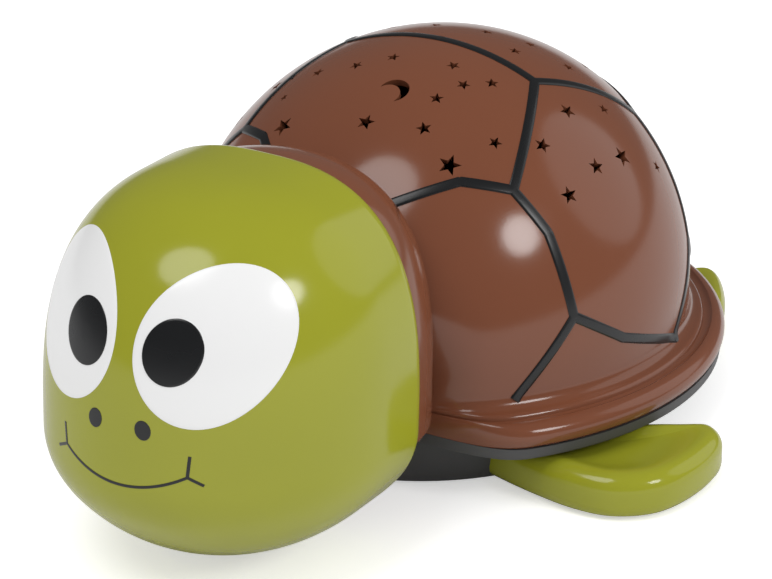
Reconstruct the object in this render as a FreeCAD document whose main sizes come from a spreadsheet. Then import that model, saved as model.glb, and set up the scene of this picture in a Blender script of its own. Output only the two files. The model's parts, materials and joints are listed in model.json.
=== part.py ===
"""Turtle night light with a pierced star shell, modelled at its real size in millimetres.

The frame has +Z up and the head towards -Y. The origin is the centre of the
face that the base stands on. The shell and the flange below it share a plane
that rises a little towards the head, so they are modelled level and then
tilted together about the seam.
"""
import FreeCAD, Part
import math
import os

os.makedirs("parts", exist_ok=True)
doc = FreeCAD.newDocument("turtle_night_light")
V = FreeCAD.Vector

# Driving sizes
SIZES = {
    "seam_height": 17.0,
    "shell_tilt": 2.3,
    "dome_half_width": 76.3,
    "dome_half_length": 82.8,
    "dome_spring": 18.5,
    "shell_wall": 2.4,
    "lip_reach": 9.2,
    "lip_round": 4.4,
    "lip_lift": 3.4,
    "groove_reach": 5.6,
    "groove_lift": 6.9,
    "ledge_reach": 3.6,
    "ledge_lift": 8.6,
    "foot_height": 12.5,
    "line_width": 2.4,
    "line_proud": 0.45,
    "line_sunk": 0.8,
    "star_small": 2.2,
    "star_large": 3.5,
    "moon_radius": 4.6,
    "head_half_width": 51.2,
    "head_reach": 57.3,
    "head_centre_y": -114.6,
    "head_depth": 19.7,
    "head_edge_round": 6.6,
    "head_widest": 38.9,
    "head_top": 106.5,
    "head_crease": 27.6,
    "head_bottom": -3.7,
    "head_square": 2.72,
    "head_wall": 2.4,
    "collar_inset": 4.0,
    "collar_reach": 40.0,
    "neck_inset": 12.0,
    "plate_lap": 4.0,
    "plate_thick": 2.4,
    "seat_gap": 0.3,
    "fit_gap": 0.2,
    "eye_spread": 21.4,
    "eye_height": 74.2,
    "eye_half_width": 17.4,
    "eye_half_height": 20.6,
    "pupil_spread": 13.6,
    "pupil_height": 73.6,
    "pupil_half_width": 7.9,
    "pupil_half_height": 8.8,
    "nostril_spread": 7.6,
    "nostril_height": 51.7,
    "smile_half_width": 19.5,
    "smile_height": 39.6,
    "smile_radius": 39.0,
    "smile_line": 0.8,
    "face_depth": 0.6,
    "face_proud": 0.15,
    "base_half_width": 66.2,
    "base_flare": 2.6,
    "floor_thick": 3.0,
    "base_wall": 2.4,
    "flange_inset": 3.2,
    "flange_thick": 3.4,
    "cell_diameter": 14.2,
    "cell_length": 49.2,
    "nub_diameter": 5.4,
    "nub_length": 1.3,
    "cell_pitch": 15.4,
    "spring_length": 5.5,
    "contact_thick": 0.5,
    "door_thick": 2.0,
    "door_gap": 0.25,
    "door_margin": 3.0,
    "foot_pad_radius": 4.5,
    "foot_pad_proud": 0.8,
    "foot_pad_sunk": 1.2,
    "screw_radius": 1.3,
    "screw_head_radius": 2.6,
    "screw_head_height": 1.8,
    "boss_radius": 3.6,
    "board_thick": 1.6,
    "lamp_radius": 2.5,
    "lamp_height": 50.0,
    "button_radius": 4.8,
    "button_proud": 1.6,
    "button_travel": 0.8,
    "switch_travel": 3.0,
    "switch_knob_width": 3.6,
    "front_flipper_height": 13.0,
    "rear_flipper_height": 8.6,
    "flipper_clear": 0.9,
    "flipper_round": 3.0,
    "tongue_width": 18.0,
    "tongue_height": 5.0,
    "tongue_lift": 4.0,
    "tongue_depth": 6.0,
}
sheet = doc.addObject("Spreadsheet::Sheet", "Sizes")
row = 1
for name, number in SIZES.items():
    sheet.set("A%d" % row, name)
    sheet.set("B%d" % row, str(number))
    sheet.setAlias("B%d" % row, name)
    row += 1
doc.recompute()


def size(name):
    """Return the value of one driving size."""
    return float(sheet.get(name))


NODES = []


def keep(label, obj):
    """Give a finished sub-part its node name and list it for writing."""
    obj.Label = label
    NODES.append(obj)
    return obj


def keep_shape(label, shape):
    """Put a free-form shape into the document as a sub-part."""
    obj = doc.addObject("Part::Feature", label)
    obj.Shape = shape
    return keep(label, obj)


def tilt(shape):
    """Turn a level shape about the seam so that it rises at the head."""
    raised = shape.copy()
    raised.rotate(V(0, 0, size("seam_height")), V(1, 0, 0), -size("shell_tilt"))
    return raised


def solid_of(shape):
    """Return the shape as one clean solid."""
    whole = shape.removeSplitter()
    return whole.Solids[0] if len(whole.Solids) == 1 else whole


def merge(shapes):
    """Fuse a list of touching shapes into one."""
    whole = shapes[0]
    if len(shapes) > 1:
        whole = shapes[0].multiFuse(shapes[1:])
    return whole.removeSplitter()


# Every round form of the shell and base is turned about the dome axis, then
# stretched along Y by one factor, which makes its plan an ellipse
SEAM = size("seam_height")
DOME = size("dome_half_width")
FACTOR = size("dome_half_length") / DOME
SPRING = SEAM + size("dome_spring")
WALL = size("shell_wall")


def stretch_y(shape, factor):
    """Return the shape scaled along Y."""
    matrix = FreeCAD.Matrix()
    matrix.A22 = factor
    return shape.transformGeometry(matrix)


def turned(points):
    """Solid turned from a closed outline of radius and height points."""
    outline = Part.makePolygon([V(r, 0, z) for r, z in points + points[:1]])
    return Part.Face(outline).revolve(V(0, 0, 0), V(0, 0, 1), 360)


def dome(grow):
    """Dome cap grown by a distance."""
    return Part.makeSphere(DOME + grow, V(0, 0, SPRING), V(0, 0, 1), 0, 90, 360)


def skirt(grow, low, high):
    """Straight wall under the dome cap."""
    return Part.makeCylinder(DOME + grow, high - low, V(0, 0, low))


def brim(inset):
    """Brim solid: rolled lip, groove, ledge and the fillet at the dome foot."""
    lip = size("lip_round")
    centre_r = DOME + size("lip_reach")
    centre_z = SEAM + size("lip_lift")
    groove_r = DOME + size("groove_reach")
    groove_z = SEAM + size("groove_lift") - inset
    ledge_r = DOME + size("ledge_reach") - inset * 0.4
    ledge_z = SEAM + size("ledge_lift") - inset
    foot_z = SEAM + size("foot_height")
    lip = lip - inset

    def lip_point(degrees):
        turn = math.radians(degrees)
        return V(centre_r + lip * math.cos(turn), 0, centre_z + lip * math.sin(turn))

    top = lip_point(90)
    groove = V(groove_r, 0, groove_z)
    ledge = V(ledge_r, 0, ledge_z)
    foot = V(DOME - inset, 0, foot_z)
    edges = []
    if inset:
        low = V(centre_r, 0, SEAM - 2.0)
        edges.append(Part.makeLine(V(0, 0, low.z), low))
        edges.append(Part.makeLine(low, top))
    else:
        low = V(lip_point(-50).x, 0, SEAM)
        edges.append(Part.makeLine(V(0, 0, SEAM), low))
        edges.append(Part.makeLine(low, lip_point(-50)))
        edges.append(Part.Arc(lip_point(-50), lip_point(20), top).toShape())
    hollow = V((top.x + groove.x) / 2.0, 0, (top.z + groove.z) / 2.0 - 0.35)
    edges.append(Part.Arc(top, hollow, groove).toShape())
    bead = V((groove.x + ledge.x) / 2.0 + 0.1, 0, (groove.z + ledge.z) / 2.0 + 0.55)
    edges.append(Part.Arc(groove, bead, ledge).toShape())
    bend = V(foot.x + (ledge.x - foot.x) * 0.28, 0, ledge.z + (foot.z - ledge.z) * 0.36)
    edges.append(Part.Arc(ledge, bend, foot).toShape())
    edges.append(Part.makeLine(foot, V(0, 0, foot_z)))
    edges.append(Part.makeLine(V(0, 0, foot_z), V(0, 0, low.z)))
    return Part.Face(Part.Wire(edges)).revolve(V(0, 0, 0), V(0, 0, 1), 360)


# Head form, used by the head, the collar and the neck
HEAD_Y = size("head_centre_y")
HEAD_REAR = HEAD_Y + size("head_depth")


def head_section(inset):
    """Half outline of the head, from the chin to the crown, as one closed face."""
    half = size("head_half_width") - inset
    widest = size("head_widest")
    rise = size("head_top") - inset - widest
    crease = size("head_crease")
    low = size("head_bottom") + inset
    power = size("head_square")
    crown = []
    steps = 9
    for i in range(steps + 1):
        turn = math.pi / 2.0 * i / steps
        across = half * math.cos(turn) ** (2.0 / power)
        up = widest + rise * math.sin(turn) ** (2.0 / power)
        crown.append(V(max(across, 0.0), 0, up))
    crown[-1] = V(0, 0, widest + rise)
    curve = Part.BSplineCurve()
    curve.interpolate(Points=crown, InitialTangent=V(0, 0, 1), FinalTangent=V(-1, 0, 0))
    drop = crease - low
    bowl = (half * half + drop * drop) / (2.0 * drop)
    mid_r = half * 0.55
    mid = V(mid_r, 0, low + bowl - math.sqrt(bowl * bowl - mid_r * mid_r))
    chin = Part.Arc(V(0, 0, low), mid, V(half, 0, crease)).toShape()
    wall = Part.makeLine(V(half, 0, crease), V(half, 0, widest))
    axis = Part.makeLine(V(0, 0, widest + rise), V(0, 0, low))
    return Part.Face(Part.Wire([chin, wall, curve.toShape(), axis]))


def head_round(inset, reach, start, sweep):
    """Head form turned about its upright axis and stretched to a reach in Y."""
    half = size("head_half_width") - inset
    outline = head_section(inset)
    outline.rotate(V(0, 0, 0), V(0, 0, 1), start)
    form = outline.revolve(V(0, 0, 0), V(0, 0, 1), sweep)
    return stretch_y(form, reach / half)


def head_prism(inset, near, far):
    """Head outline as a straight prism between two Y places."""
    right = head_section(inset)
    left = right.mirror(V(0, 0, 0), V(1, 0, 0))
    block = merge([right.extrude(V(0, far - near, 0)), left.extrude(V(0, far - near, 0))])
    block.translate(V(0, near, 0))
    return block


def head_solid(inset, rear_inset):
    """Whole head: a half round at the face and a straight part behind it."""
    face = head_round(inset, size("head_reach") - inset, 180, 180)
    face.translate(V(0, HEAD_Y, 0))
    back = head_prism(inset, HEAD_Y, HEAD_REAR - rear_inset)
    return merge([face, back])


def rear_edges(shape, y):
    """Edges of a shape that lie wholly in one plane of Y."""
    found = []
    for edge in shape.Edges:
        if abs(edge.BoundBox.YMin - y) < 0.01 and abs(edge.BoundBox.YMax - y) < 0.01:
            found.append(edge)
    return found


# Places on the dome, given as degrees round from the head and degrees up
def direction(around, up):
    """Unit vector on the sphere that the dome is stretched from."""
    a = math.radians(around)
    b = math.radians(up)
    return V(math.sin(a) * math.cos(b), -math.cos(a) * math.cos(b), math.sin(b))


def on_dome(unit, grow=0.0):
    """Point of the dome surface under a unit direction."""
    return unit * (DOME + grow) + V(0, 0, SPRING)


def line_plate(first, second):
    """Flat plate from the dome centre whose cut with the surface is one line."""
    a = on_dome(first, 12.0)
    b = on_dome(second, 12.0)
    a0 = on_dome(first, -16.0)
    b0 = on_dome(second, -16.0)
    across = first.cross(second)
    across.normalize()
    width = size("line_width")
    face = Part.Face(Part.makePolygon([a0, a, b, b0, a0]))
    plate = face.extrude(across * width)
    plate.translate(across * (-width / 2.0))
    return plate


def line_joint(unit):
    """Round post that closes the corner where lines meet."""
    point = on_dome(unit)
    normal = unit
    return Part.makeCylinder(size("line_width") / 2.0, 24.0, point - normal * 12.0, normal)


SHOULDER = (53.0, 41.0)
CROWN_CORNER = (91.0, 65.0)
HAUNCH = (127.0, 41.0)
FRONT_KNEE = (62.5, 11.0)
REAR_KNEE = (116.0, 11.0)
SIDE_FOOT = (98.0, -6.0)
CHAINS = [
    [(18.0, 38.0), (37.0, 43.5), SHOULDER, CROWN_CORNER, HAUNCH, (154.0, 44.5), (180.0, 45.0)],
    [SHOULDER, (59.0, 30.0), FRONT_KNEE, (48.0, -7.0)],
    [FRONT_KNEE, (76.0, 2.5), SIDE_FOOT, REAR_KNEE, HAUNCH],
    [REAR_KNEE, (134.0, -7.0)],
]


def line_network():
    """All raised lines as one cutter that reaches through the dome surface."""
    pieces = []
    seen = set()
    for side in (1, -1):
        for chain in CHAINS:
            units = [direction(side * around, up) for around, up in chain]
            for first, second in zip(units[:-1], units[1:]):
                pieces.append(line_plate(first, second))
            for place, unit in zip(chain, units):
                key = (round(side * place[0]) % 360, place[1])
                if key not in seen:
                    seen.add(key)
                    pieces.append(line_joint(unit))
    left = direction(-CROWN_CORNER[0], CROWN_CORNER[1])
    right = direction(CROWN_CORNER[0], CROWN_CORNER[1])
    top = direction(90.0, 90.0)
    pieces.append(line_plate(left, top))
    pieces.append(line_plate(top, right))
    pieces.append(line_joint(top))
    return pieces


def star_cutter(around, up, tip, spin):
    """Five-pointed prism set square to the dome surface."""
    unit = direction(around, up)
    point = on_dome(unit)
    normal = unit
    east = V(0, 0, 1).cross(normal)
    east.normalize()
    north = normal.cross(east)
    corners = []
    for i in range(10):
        radius = tip if i % 2 == 0 else tip * 0.42
        turn = math.radians(90.0 + spin + 36.0 * i)
        corners.append(point + east * (radius * math.cos(turn)) + north * (radius * math.sin(turn)))
    corners.append(corners[0])
    face = Part.Face(Part.makePolygon(corners))
    depth = WALL * 3.0
    prism = face.extrude(normal * (2.0 * depth))
    prism.translate(normal * (-depth))
    return prism


def moon_cutter(around, up):
    """Crescent prism set square to the dome surface."""
    unit = direction(around, up)
    point = on_dome(unit)
    normal = unit
    east = V(0, 0, 1).cross(normal)
    east.normalize()
    north = normal.cross(east)
    radius = size("moon_radius")
    depth = WALL * 3.0
    shift = east * (-0.30 * radius) - north * (0.42 * radius)
    disc = Part.makeCylinder(radius, 2.0 * depth, point - normal * depth, normal)
    bite = Part.makeCylinder(radius * 0.86, 2.4 * depth, point + shift - normal * (1.2 * depth), normal)
    return disc.cut(bite)


SMALL = size("star_small")
LARGE = size("star_large")
FRONT_STARS = [
    (-66, 56, SMALL * 0.8), (-38, 71, SMALL), (-21, 78, SMALL), (-54, 63, SMALL), (-51, 54, SMALL * 0.7),
    (-34, 50, LARGE), (44, 78, SMALL), (47, 71, SMALL), (66, 70, SMALL), (30, 67, SMALL),
    (1, 58, SMALL * 1.3), (26, 58.5, SMALL * 1.1), (53, 54, SMALL), (36, 49.5, LARGE), (12, 50, SMALL),
    (-14, 48, SMALL),
]
SIDE_STARS = [
    (91, 56, SMALL * 1.3), (110, 50.5, SMALL), (70, 51, SMALL * 1.2), (85, 42, SMALL * 1.3),
    (98, 40.5, LARGE), (71, 38.5, SMALL * 1.3), (113, 32, SMALL), (86, 27, SMALL * 0.9),
]
REAR_STARS = [
    (120, 74, SMALL), (143, 69, SMALL), (127, 61, SMALL), (165, 77, SMALL), (-150, 78, SMALL),
    (-120, 70, SMALL), (-140, 62, LARGE), (160, 58, SMALL * 1.2), (-168, 55, SMALL), (180, 66, SMALL),
    (145, 53, SMALL),
]


def openings_of_light():
    """All stars and the moon as one list of cutters."""
    cutters = []
    count = 0
    for around, up, tip in FRONT_STARS + REAR_STARS:
        cutters.append(star_cutter(around, up, tip, 17.0 * (count % 5)))
        count += 1
    for side in (1, -1):
        for around, up, tip in SIDE_STARS:
            cutters.append(star_cutter(side * around, up, tip, 17.0 * (count % 5)))
            count += 1
    cutters.append(moon_cutter(5.0, 68.0))
    return cutters


def collar_solid(inset, near):
    """Rounded collar behind the head, from a Y place back into the dome."""
    rest = size("collar_inset") + inset
    rounded = head_round(rest, size("collar_reach") - inset, 0, 180)
    rounded.translate(V(0, near, 0))
    return rounded


# Levels and faces shared by the pieces
GAP = size("seat_gap")
FIT = size("fit_gap")
COLLAR_FRONT = HEAD_REAR + GAP
FLANGE = DOME + size("lip_reach") + size("lip_round") - size("flange_inset")
BIG = 400.0


def above(z):
    """Half space above a level plane."""
    return Part.makeBox(BIG, BIG, BIG, V(-BIG / 2, -BIG / 2, z))


def behind(y):
    """Half space on the tail side of an upright plane."""
    return Part.makeBox(BIG, BIG, BIG, V(-BIG / 2, y, -BIG / 2))


# Screws that hold the shell down, round the brim
BRIM_SCREW_ANGLES = (5.0, 64.0, 116.0, 175.0, -129.0, -51.0)
BRIM_SCREW_RADIUS = DOME + 4.6


def brim_screw_places():
    """Places of the brim screws on the level seam."""
    places = []
    for degrees in BRIM_SCREW_ANGLES:
        turn = math.radians(degrees)
        places.append((BRIM_SCREW_RADIUS * math.cos(turn), BRIM_SCREW_RADIUS * math.sin(turn) * FACTOR))
    return places


SCREW = size("screw_radius")
SCREW_HEAD = size("screw_head_radius")
SCREW_HEAD_H = size("screw_head_height")
BOSS = size("boss_radius")
BUTTON = size("button_radius")
BUTTON_Y = (DOME + 6.4) * FACTOR
BUTTON_TOP = SEAM + size("lip_lift") + size("lip_round") + 0.8
BUTTON_SEAT = BUTTON_TOP - 3.0

import time
T0 = time.time()


def stamp(what):
    print("%6.1f %s" % (time.time() - T0, what), flush=True)


# Star shell, with its line groove and light openings cut before the stretch
round_outer = merge([dome(0), skirt(0, SEAM + 8.0, SPRING), brim(0)])
round_inner = merge([dome(-WALL), skirt(-WALL, SEAM - 2.0, SPRING), brim(WALL)])
stamp("round forms")
layer_top = size("line_proud")
layer_low = -size("line_sunk")
line_out = merge([dome(layer_top), skirt(layer_top, SEAM + size("foot_height"), SPRING)])
line_in = merge([dome(layer_low), skirt(layer_low, SEAM, SPRING)])
line_layer = line_out.cut(line_in)
bands = []
for plate in line_network():
    bands.append(plate.common(line_layer))
stamp("bands")
round_net = merge([band for band in bands if band.Volume > 0.5])
stamp("net")
round_skin = round_outer.cut(round_inner)
stamp("skin")
round_skin = round_skin.cut(round_net)
stamp("groove")
round_skin = round_skin.cut(openings_of_light())
stamp("light")
level_shell = stretch_y(round_skin, FACTOR)
level_outer = stretch_y(round_outer, FACTOR)
level_inner = stretch_y(round_inner, FACTOR)
level_net = stretch_y(round_net, FACTOR)
stamp("stretched")

# Collar, bosses, button well and neck opening
collar_out = collar_solid(0.0, COLLAR_FRONT).common(above(SEAM))
collar_in = collar_solid(WALL, COLLAR_FRONT + WALL).common(above(SEAM - 2.0))
collar_skin = collar_out.cut(merge([level_inner, collar_in]))
stamp("collar skin")
level_shell = level_shell.cut(collar_in).cut(Part.makeBox(BIG, BIG, BIG, V(-BIG / 2, COLLAR_FRONT - BIG, -BIG / 2)))
level_shell = level_shell.fuse(collar_skin)
stamp("collar joined")
bosses = []
for x, y in brim_screw_places():
    bosses.append(Part.makeCylinder(BOSS, 12.0, V(x, y, SEAM)).common(level_outer))
bosses.append(Part.makeCylinder(BUTTON + 1.8, BUTTON_TOP - SEAM - 3.6, V(0, BUTTON_Y, SEAM + 3.6)))
level_shell = level_shell.fuse(bosses)
holes = []
for x, y in brim_screw_places():
    holes.append(Part.makeCylinder(SCREW, 4.4, V(x, y, SEAM)))
holes.append(Part.makeCylinder(BUTTON + 0.1, 20.0, V(0, BUTTON_Y, SEAM + 1.0)))
holes.append(Part.makeCylinder(BUTTON + 1.1, BUTTON_SEAT - SEAM + 1.0, V(0, BUTTON_Y, SEAM - 1.0)))
NECK_LOW = SEAM + 9.0
neck_form = head_prism(size("neck_inset"), 0.0, 1.0).common(above(NECK_LOW))


def neck_slab(grow, near, far):
    """Arch of the neck opening as a slab between two Y places."""
    slab = head_prism(size("neck_inset") - grow, near, far)
    return slab.common(above(NECK_LOW - grow))


holes.append(neck_slab(FIT, COLLAR_FRONT - 1.0, COLLAR_FRONT + WALL + 4.0))
level_shell = level_shell.cut(holes)
stamp("shell cut")
level_shell = max(level_shell.Solids, key=lambda piece: piece.Volume)
net_trim = level_net.cut(collar_out)
net_trim = merge([piece for piece in net_trim.Solids if piece.Volume > 40.0])
stamp("net trimmed")
keep_shape("star_shell", tilt(level_shell))
keep_shape("line_net", tilt(net_trim))

# Head shell: hollow, open at the neck, with bosses for the neck screws
HEAD_WALL = size("head_wall")
head_outer = head_solid(0.0, 0.0)
head_outer = head_outer.makeFillet(size("head_edge_round"), rear_edges(head_outer, HEAD_REAR))
head_shell = head_outer.cut(head_solid(HEAD_WALL, HEAD_WALL))
SPIGOT_END = COLLAR_FRONT + WALL - 0.1
spigot = neck_slab(0.0, HEAD_REAR - HEAD_WALL, SPIGOT_END)
mouth_of_neck = neck_slab(-HEAD_WALL, HEAD_REAR - HEAD_WALL - 1.0, SPIGOT_END + 1.0)
NECK_SCREWS = ((33.4, 44.0), (-33.4, 44.0), (26.0, 79.8), (-26.0, 79.8))
neck_bosses = []
neck_pilots = []
for x, z in NECK_SCREWS:
    start = V(x, HEAD_REAR - 9.0, z)
    neck_bosses.append(Part.makeCylinder(BOSS, SPIGOT_END - start.y, start, V(0, 1, 0)))
    neck_pilots.append(Part.makeCylinder(SCREW, 12.0, V(x, SPIGOT_END - 9.0, z), V(0, 1, 0)))
head_shell = merge([head_shell.cut(mouth_of_neck), spigot.cut(mouth_of_neck)] + neck_bosses)
head_shell = head_shell.cut(neck_pilots)
stamp("head shell")

# Face inlays, each cut from one thin layer over the head surface
FACE_DEPTH = size("face_depth")
FACE_PROUD = size("face_proud")


def face_layer(proud, depth):
    """Front layer of the head between two depths."""
    cover = head_solid(-proud, 0.0)
    return cover.cut(head_solid(depth, 0.0)).common(above(size("head_crease")))


def oval_prism(x, z, half_width, half_height):
    """Upright oval carried straight back through the face."""
    major = max(half_width, half_height)
    minor = min(half_width, half_height)
    curve = Part.Ellipse(V(0, 0, 0), major, minor)
    edge = curve.toShape()
    if half_height > half_width:
        edge.rotate(V(0, 0, 0), V(0, 0, 1), 90)
    edge.rotate(V(0, 0, 0), V(1, 0, 0), 90)
    face = Part.Face(Part.Wire([edge]))
    face.translate(V(x, HEAD_Y, z))
    return face.extrude(V(0, -size("head_reach") - 10.0, 0))


layer = face_layer(FACE_PROUD, FACE_DEPTH)
top_layer = face_layer(FACE_PROUD * 2.0, -FACE_PROUD)
whites = []
pupils = []
nostrils = []
for side in (1, -1):
    white = oval_prism(side * size("eye_spread"), size("eye_height"), size("eye_half_width"),
                       size("eye_half_height"))
    pupil = oval_prism(side * size("pupil_spread"), size("pupil_height"), size("pupil_half_width"),
                       size("pupil_half_height"))
    nostril = oval_prism(side * size("nostril_spread"), size("nostril_height"), 2.3, 2.8)
    whites.append(layer.common(white).cut(pupil))
    pupils.append(layer.common(pupil))
    nostrils.append(layer.common(nostril))
smile_z = size("smile_height") + math.sqrt(size("smile_radius") ** 2 - size("smile_half_width") ** 2)
line_half = size("smile_line") / 2.0
reach = size("head_reach") + 10.0
ring = Part.makeCylinder(size("smile_radius") + line_half, reach, V(0, HEAD_Y, smile_z), V(0, -1, 0))
ring = ring.cut(Part.makeCylinder(size("smile_radius") - line_half, reach, V(0, HEAD_Y, smile_z), V(0, -1, 0)))
window = Part.makeBox(2.0 * size("smile_half_width"), reach, 30.0,
                      V(-size("smile_half_width"), HEAD_Y - reach, size("smile_height") - 20.0))
strokes = [ring.common(window)]


def stroke(x1, z1, x2, z2):
    """Straight bar in the face plane between two places."""
    along = math.hypot(x2 - x1, z2 - z1)
    bar = Part.makeBox(along, reach, 2.0 * line_half, V(0, -reach, -line_half))
    bar.rotate(V(0, 0, 0), V(0, 1, 0), -math.degrees(math.atan2(z2 - z1, x2 - x1)))
    bar.translate(V(x1, HEAD_Y, z1))
    return bar


corner_x = size("smile_half_width")
corner_z = size("smile_height")
for side in (1, -1):
    strokes.append(stroke(side * (corner_x - 0.3), corner_z - 0.2, side * (corner_x + 0.6), corner_z + 6.2))
    strokes.append(stroke(side * (corner_x - 0.3), corner_z - 0.1, side * (corner_x + 4.0), corner_z - 2.2))
smile = merge([layer.common(item) for item in strokes])
stamp("face")
marks = whites + pupils + nostrils + [smile]
head_shell = head_shell.cut(marks)
keep_shape("head_shell", tilt(head_shell))
keep_shape("eye_whites", tilt(Part.makeCompound(whites)))
keep_shape("eye_pupils", tilt(Part.makeCompound(pupils)))
keep_shape("nostrils", tilt(Part.makeCompound(nostrils)))
keep_shape("smile_line", tilt(smile))
stamp("head done")

# Neck plate and its screws, inside the collar
PLATE = size("plate_thick")
PLATE_Y = COLLAR_FRONT + WALL
plate = neck_slab(size("plate_lap"), PLATE_Y, PLATE_Y + PLATE)
plate = plate.cut(neck_slab(-14.0, PLATE_Y - 1.0, PLATE_Y + PLATE + 1.0))
neck_screws = []
for x, z in NECK_SCREWS:
    plate = plate.cut(Part.makeCylinder(SCREW + 0.2, 20.0, V(x, PLATE_Y - 5.0, z), V(0, 1, 0)))
    head = Part.makeCylinder(SCREW_HEAD, SCREW_HEAD_H, V(x, PLATE_Y + PLATE, z), V(0, 1, 0))
    shank = Part.makeCylinder(SCREW, PLATE + 7.0, V(x, PLATE_Y - 7.0, z), V(0, 1, 0))
    neck_screws.append(head.fuse(shank).removeSplitter())
keep_shape("neck_plate", tilt(plate))
keep_shape("neck_screws", tilt(Part.makeCompound(neck_screws)))
stamp("neck")

# Base housing
BASE = size("base_half_width")
BASE_WALL = size("base_wall")
UNDERSIDE = size("foot_pad_proud")
FLOOR = size("floor_thick")
FLOOR_TOP = UNDERSIDE + FLOOR
FLANGE_LOW = SEAM - size("flange_thick")
FLARE = size("base_flare")


def base_form(grow, low, high):
    """Tapered body of the base grown by a distance, before the stretch."""
    slope = FLARE / FLANGE_LOW
    return Part.makeCone(BASE + grow + slope * low, BASE + grow + slope * high, high - low, V(0, 0, low))


flange = Part.makeCylinder(FLANGE, SEAM - FLANGE_LOW, V(0, 0, FLANGE_LOW))
flange = flange.makeFillet(0.9, [edge for edge in flange.Edges if edge.Closed and edge.BoundBox.ZMax < SEAM - 1.0])
body = merge([base_form(0.0, -14.0, SEAM), flange])
hollow = base_form(-BASE_WALL, -14.0, SEAM + 1.0)
housing = tilt(stretch_y(body, FACTOR).common(behind(COLLAR_FRONT)))
cavity = tilt(stretch_y(hollow, FACTOR)).common(above(FLOOR_TOP))
housing = housing.common(above(UNDERSIDE)).cut(cavity)
stamp("housing")

# Battery bay
PITCH = size("cell_pitch")
CELL_R = size("cell_diameter") / 2.0
CELL_L = size("cell_length") + size("nub_length")
CONTACT = size("contact_thick")
SPRING_L = size("spring_length")
BAY_W = 3.0 * PITCH + 0.6
BAY_L = CELL_L + SPRING_L + 2.0 * CONTACT + 0.4
BAY_Y0 = -BAY_L / 2.0 + 5.0
BAY_Y1 = BAY_Y0 + BAY_L
BAY_TOP = FLOOR_TOP + size("cell_diameter") + 0.8
BAY_WALL = 1.8
MARGIN = size("door_margin")
DOOR_GAP = size("door_gap")
DOOR = size("door_thick")
DOOR_LOW = UNDERSIDE + 0.4
HINGE_Z = DOOR_LOW + DOOR / 2.0
HINGE_Y = BAY_Y1 + MARGIN
PIN_R = 0.75
LUG_W = 12.0
LUG_L = 9.0
LUG_Y = BAY_Y0 - MARGIN - LUG_L + 4.5


def slab(width, y0, y1, z0, z1):
    """Box centred on X between two Y places and two heights."""
    return Part.makeBox(width, y1 - y0, z1 - z0, V(-width / 2.0, y0, z0))


bay_outer = slab(BAY_W + 2 * BAY_WALL, BAY_Y0 - BAY_WALL, BAY_Y1 + BAY_WALL, FLOOR_TOP, BAY_TOP + BAY_WALL)
bay_inner = slab(BAY_W, BAY_Y0, BAY_Y1, UNDERSIDE - 1.0, BAY_TOP)
DOOR_W = BAY_W + 2.0 * MARGIN
door_hole = slab(DOOR_W + 2 * DOOR_GAP, BAY_Y0 - MARGIN - DOOR_GAP, HINGE_Y + DOOR / 2.0 + DOOR_GAP,
                 UNDERSIDE - 1.0, DOOR_LOW + DOOR + DOOR_GAP)
lug_hole = slab(LUG_W + 2 * DOOR_GAP, LUG_Y - LUG_L / 2 - DOOR_GAP, BAY_Y0, UNDERSIDE - 1.0,
                DOOR_LOW + DOOR + DOOR_GAP)
pin_hole = Part.makeCylinder(PIN_R + 0.08, DOOR_W + 5.0, V(-DOOR_W / 2 - 2.5, HINGE_Y, HINGE_Z), V(1, 0, 0))
screw_boss = Part.makeCylinder(BOSS, 6.0, V(0, LUG_Y, FLOOR_TOP - 0.1))
screw_bore = Part.makeCylinder(SCREW + 0.4, 3.6, V(0, LUG_Y, UNDERSIDE))
screw_bore = Part.makeCylinder(SCREW + 0.4, FLOOR + 3.0, V(0, LUG_Y, UNDERSIDE))
posts = []
post_holes = []
BOARD_Z = BAY_TOP + BAY_WALL + 2.0
BOARD_SCREWS = ((21.0, BAY_Y0 + 6.0), (-21.0, BAY_Y0 + 6.0), (21.0, BAY_Y1 - 6.0), (-21.0, BAY_Y1 - 6.0))
for x, y in BOARD_SCREWS:
    posts.append(Part.makeCylinder(2.6, 2.0, V(x, y, BAY_TOP + BAY_WALL)))
    post_holes.append(Part.makeCylinder(0.9, 3.0, V(x, y, BOARD_Z - 3.0)))

# Flippers
FLIP_CLEAR = size("flipper_clear")
FRONT_OUTLINE = ((30.0, -46.0), (48.0, -51.0), (70.0, -54.5), (90.0, -53.0), (103.0, -40.0), (106.5, -24.0),
                 (100.5, -10.0), (88.0, -11.5), (72.0, -21.5), (50.0, -28.0), (32.0, -30.0))
REAR_OUTLINE = ((20.0, 44.0), (36.0, 45.0), (52.0, 50.0), (64.5, 61.0), (67.0, 76.0), (58.0, 86.5),
                (45.0, 80.5), (31.0, 68.0), (17.0, 60.0))
TONGUE_W = size("tongue_width")
TONGUE_H = size("tongue_height")
TONGUE_Z = FLOOR_TOP + 0.4
FRONT_ROOT = -34.0
REAR_ROOT = 56.0


def flipper(outline, height, root, side, width):
    """Rounded paddle with a tongue that enters the base wall."""
    points = [V(side * x, y, FLIP_CLEAR) for x, y in outline]
    if side < 0:
        points.reverse()
    curve = Part.BSplineCurve()
    curve.interpolate(Points=points, PeriodicFlag=True)
    face = Part.Face(Part.Wire([curve.toShape()]))
    paddle = face.extrude(V(0, 0, height))
    rims = [edge for edge in paddle.Edges if edge.BoundBox.ZMin > FLIP_CLEAR + height - 0.1]
    paddle = paddle.makeFillet(size("flipper_round"), rims)
    rims = [edge for edge in paddle.Edges if edge.BoundBox.ZMax < FLIP_CLEAR + 0.1]
    paddle = paddle.makeFillet(1.2, rims)
    keep_out = tilt(stretch_y(base_form(GAP, -14.0, SEAM + 9.0), FACTOR))
    paddle = paddle.cut(keep_out)
    paddle = max(paddle.Solids, key=lambda piece: piece.Volume)
    return merge([paddle, tongue(root, side, width, 0.0)])


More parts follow.
